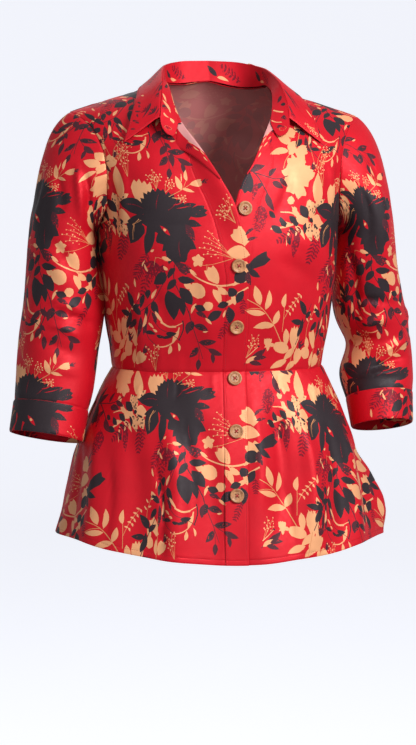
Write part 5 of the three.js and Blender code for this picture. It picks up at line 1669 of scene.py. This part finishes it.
def stitched(name, rows):
    """Stitches on sewn pieces, joined in one mesh: rows of (node, start uv, end uv)."""
    verts, faces, uvs = [], [], []
    for node, start, end in rows:
        dense = mix(np.array(start, float), np.array(end, float), np.linspace(0, 1, LINE_STEPS)[:, None])
        place, _, normal = SEWN[node].at(dense)
        run = np.concatenate([[0], np.cumsum(np.linalg.norm(np.diff(place, axis=0), axis=1))])

        def along_run(values, s):
            return np.array([np.interp(s, run, column) for column in values.T])

        for s in np.arange(PITCH, run[-1] - PITCH / 2, PITCH):
            a, b, c = (along_run(place, x) for x in (s - LENGTH / 2, s, s + LENGTH / 2))
            up = unit(along_run(normal, s))
            half, side = (c - a) / 2, unit(np.cross(up, c - a)) * WIDTH / 2
            faces += tube(len(verts), len(STITCH["along"]), 4)
            for along, across, rise in zip(*STITCH.values()):
                mid, high = b + half * along + up * WIDTH * (rise - SUNK), up * WIDTH * STITCH_HEIGHT * across
                verts += [mid + side * across, mid + high, mid - side * across, mid - high]
                uvs += [(along * LENGTH / 2, s)] * 4
    made(name, verts, faces, uvs, THREAD)


def from_edge(node, axis, away):
    """The u or v of a line that far from the last edge, in millimetres."""
    return 1 - away / SEWN[node].cloth.size[axis]


hemmed = [f"{piece}_{side}" for side in SIGN for piece in ("peplum_front", "peplum_placket")]
stitched("hem_stitches", [
    (node, (0.004, from_edge(node, 1, HEM)), (0.996, from_edge(node, 1, HEM)))
    for node in (*hemmed, "peplum_back")])
for side in SIGN:
    rows = []
    for node in (f"placket_{side}", f"peplum_placket_{side}"):
        fold = from_edge(node, 0, EDGE_STITCH)
        rows += [(node, (u, 0.01), (u, 0.97)) for u in (fold, 1 - fold)]
    stitched(f"placket_stitches_{side}", rows)
leaf_edge, leaf_end = (from_edge("collar_leaf", axis, COLLAR_STITCH) for axis in (1, 0))
stitched("collar_stitches", [
    *(("collar_leaf", (u, 0.12), (u, leaf_edge)) for u in (1 - leaf_end, leaf_end)),
    ("collar_leaf", (1 - leaf_end, leaf_edge), (leaf_end, leaf_edge))])


# ---- buttons ------------------------------------------------------------------------------------
# The level of each, its place across and its front. The first is undone, on the under front.
BUTTONS = (
    (-159.5, 12.0, "left"),
    *((z, CENTRE_X, "right") for z in (-229.5, -305.5, -371.0, -435.0, -513.0)))
BUTTON_SEAT = {"left": 0.6, "right": 0.4}
BUTTON_PROFILE = table(  # height of the face, and of the back, by radius
    "radius face back", (0, 1.95, 0.5), (2.2, 1.9, 0.5), (3.6, 1.95, 0.5), (4.4, 2.15, 0.45),
    (4.75, 1.95, 0.4), (5.2, 2.25, 0.35), (6.3, 2.6, 0.3), (7.0, 3.1, 0.25), (7.6, 3.35, 0.2),
    (8.2, 3.3, 0.3), (8.6, 2.95, 0.6), (8.82, 2.4, 1.1))
RIM_RADIUS, RIM_HEIGHT = 8.9, 1.75
ROUND, HOLE_ROUND = 44, 14
HOLE_FROM, HOLE_RADIUS, HOLE_INSIDE = 2.2, 0.82, 0.97  # from the middle, and the share surely in a hole
BUTTON_TURN = 14                                   # most by which one is turned, in degrees
STRAND, STRAND_RINGS, STRAND_SIDES = 0.24, 9, 6    # radius and steps of a thread
STRANDS = (-0.42, 0.0, 0.42)                       # the threads side by side
STRAND_LOW, STRAND_BOW, STRAND_FULL = 0.9, 1.35, 0.45  # its lowest level, its rise and how full its bow is


def round_turns(count):
    return np.arange(count) / count * 2 * math.pi


def circle(x, y, radius, count):
    turns = round_turns(count)
    return np.stack([x + radius * np.cos(turns), y + radius * np.sin(turns)], -1)


def button_plate():
    """Vertices and faces of a button with four holes, its back at the origin, facing +Z."""
    loops = [circle(0, 0, r, ROUND) for r in BUTTON_PROFILE["radius"][:0:-1]]
    corners = [(HOLE_FROM * math.cos(a), HOLE_FROM * math.sin(a)) for a in QUARTER * (np.arange(4) + 0.5)]
    loops += [circle(x, y, HOLE_RADIUS, HOLE_ROUND) for x, y in corners]
    starts = np.cumsum([0] + [len(loop) for loop in loops])
    rings = [np.arange(a, b) for a, b in zip(starts, starts[1:])]
    flat, tris = triangulated(np.vstack(loops), rings, 1e-5)
    middle = flat[tris].mean(1)
    tris = tris[np.all([np.hypot(*(middle - c).T) > HOLE_RADIUS * HOLE_INSIDE for c in corners], axis=0)]
    radius, n = np.hypot(*flat.T), len(flat)
    layers = [np.column_stack([flat, through(BUTTON_PROFILE, "radius", layer, radius)])
              for layer in ("face", "back")]
    belt = np.flatnonzero(radius > BUTTON_PROFILE["radius"][-1] - 0.01)
    belt_at = {v: 2 * n + k for k, v in enumerate(belt.tolist())}
    rim = np.column_stack([flat[belt] * RIM_RADIUS / radius[belt][:, None], np.full(len(belt), RIM_HEIGHT)])
    faces = tris.tolist() + (tris[:, ::-1] + n).tolist()
    for a, b in open_sides(tris, n).tolist():
        if a in belt_at and b in belt_at:
            faces += [[b, a, belt_at[a], belt_at[b]], [belt_at[b], belt_at[a], a + n, b + n]]
        else:
            faces.append([b, a, a + n, b + n])
    return np.vstack([*layers, rim]), faces


def strand(start, end, bow):
    """Vertices of a thread over the face from one hole to the one across, and down into both."""
    t = np.linspace(0, 1, STRAND_RINGS)
    line = mix(np.array(start), np.array(end), t[:, None])
    line[:, 2] += bow * np.sin(math.pi * t) ** STRAND_FULL
    way = unit(np.gradient(line, axis=0))
    side = unit(np.cross(way, [0.0, 0.0, 1.0]))
    up = np.cross(side, way)
    turns = round_turns(STRAND_SIDES)[:, None]
    rings = line[:, None] + STRAND * (np.cos(turns) * side[:, None] + np.sin(turns) * up[:, None])
    return rings.reshape(-1, 3)


def button_thread(rng):
    """Red thread crossed through the holes of a button."""
    verts, faces = [], []
    for turn in (QUARTER / 2, 1.5 * QUARTER):
        for shift in STRANDS:
            side = shift + rng.uniform(-0.06, 0.06)
            reach = np.array([math.cos(turn), math.sin(turn), 0.0]) * (HOLE_FROM + 0.1)
            aside = np.array([-math.sin(turn), math.cos(turn), 0.0]) * side + [0.0, 0.0, STRAND_LOW]
            bow = STRAND_BOW + rng.uniform(-0.05, 0.12) - 0.3 * abs(side)
            faces += tube(len(verts), STRAND_RINGS, STRAND_SIDES)
            verts += strand(aside - reach, aside + reach, bow).tolist()
    return np.array(verts), faces


def button_frame(z, x, side):
    """Where a button sits on its placket, and the three axes it is turned to."""
    def at(u, v):
        level = z + v
        if z > WAIST_Z:
            return lifted(angle_at(x + u, level), level, side)
        w = (WAIST_Z - level) / FRONT_DROP
        return peplum_lifted(peplum_angle(centre_x(w) + u, w), w, side)

    def place(u, v):
        return at(*(np.array([c], float) for c in (u, v)))[0]

    across, up = unit(place(2, 0) - place(-2, 0)), unit(place(0, 2) - place(0, -2))
    normal = unit(np.cross(across, up))
    seat = PLACKET_BED[side] + BUTTON_SEAT[side]
    return place(0, 0) + normal * seat, np.stack([across, np.cross(normal, across), normal])


rng = random.Random(7)
plate, plate_faces = button_plate()
for number, (z, x, side) in enumerate(BUTTONS, 1):
    place, axes = button_frame(z, x, side)
    turn = math.radians(rng.uniform(-BUTTON_TURN, BUTTON_TURN))
    c, s = math.cos(turn), math.sin(turn)
    axes = np.array([[c, s, 0], [-s, c, 0], [0, 0, 1]]) @ axes
    button = made(
        f"button_{number}_turned", plate @ axes + place, plate_faces, plate[:, :2], BUTTON)
    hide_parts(f"button_{number}")
    verts, faces = button_thread(rng)
    made(f"button_{number}_thread", verts @ axes + place, faces, verts[:, :2], THREAD)


# ---- stage: sizes here are in metres ------------------------------------------------------------
FLOOR_Z, FLOOR_HALF, FLOOR_NEAR, FLOOR_FAR, BEND, WALL_TOP = -1.45, 9.0, -8.0, 5.2, 0.9, 9.0


def sweep():
    """A pale floor that rises into a backdrop."""
    rows = [(FLOOR_NEAR, 0.0), (FLOOR_FAR, 0.0)]
    rows += [(FLOOR_FAR + BEND * math.sin(a), BEND - BEND * math.cos(a))
             for a in np.linspace(0.15, QUARTER, 10)]
    rows.append((FLOOR_FAR + BEND, WALL_TOP))
    verts = [(x, y, z + FLOOR_Z) for y, z in rows for x in (-FLOOR_HALF, FLOOR_HALF)]
    mesh = bpy.data.meshes.new("studio_floor")
    mesh.from_pydata(verts, [], [(2 * i, 2 * i + 1, 2 * i + 3, 2 * i + 2) for i in range(len(rows) - 1)])
    mesh.shade_smooth()
    paper = Nodes("paper")
    paper.put(paper.shader, {"Base Color": (0.6, 0.61, 0.64, 1), "Roughness": 0.9,
                             "Emission Color": (0.93, 0.94, 1, 1), "Emission Strength": 0.66})
    mesh.materials.append(paper.material)
    floor = bpy.data.objects.new("studio_floor", mesh)
    bpy.context.scene.collection.objects.link(floor)
    floor.visible_diffuse = floor.visible_glossy = False  # the lamps and the sky alone light the cloth
    return floor


sweep()


def lamp(name, place, aim, size, power):
    data = bpy.data.lights.new(name, "AREA")
    data.shape, data.size, data.energy = "DISK", size, power
    light = bpy.data.objects.new(name, data)
    light.location = place
    light.rotation_euler = (Vector(aim) - Vector(place)).to_track_quat("-Z", "Y").to_euler()
    bpy.context.scene.collection.objects.link(light)


lamp("key", (0.9, -1.62, 0.62), (0, 0, -0.05), 0.8, 49)
lamp("fill", (-1.2, -2.4, 0.2), (0, 0, -0.2), 1.8, 7)
lamp("top", (0.1, 0.3, 2.2), (0, 0, -0.3), 1.4, 9)
lamp("behind", (0.0, 2.4, 1.6), (0, 0, -0.3), 2.0, 9)
world = bpy.data.worlds.new("studio")
world.use_nodes = True
sky = world.node_tree.nodes["Background"].inputs
sky["Color"].default_value, sky["Strength"].default_value = (0.93, 0.95, 1.0, 1), 0.4
bpy.context.scene.world = world
bpy.context.scene.view_settings.view_transform = "Standard"

# the camera looks a little from the wearer's right and from chest height
AZIMUTH, DISTANCE, EYE = math.radians(-10.5), 2.6, -0.131
AIM_ASIDE, AIM_Z = -0.0116, -0.3729
camera_data = bpy.data.cameras.new("camera")
camera = bpy.data.objects.new("camera", camera_data)
bpy.context.scene.collection.objects.link(camera)
camera.location = (math.sin(AZIMUTH) * DISTANCE, -math.cos(AZIMUTH) * DISTANCE, EYE)
aim = Vector((math.cos(AZIMUTH), math.sin(AZIMUTH), 0)) * AIM_ASIDE + Vector((0, 0, AIM_Z))
camera.rotation_euler = (aim - camera.location).to_track_quat("-Z", "Y").to_euler()
camera_data.lens, camera_data.sensor_width = 97.4, 36.0
camera_data.clip_end = 50
bpy.context.scene.camera = camera
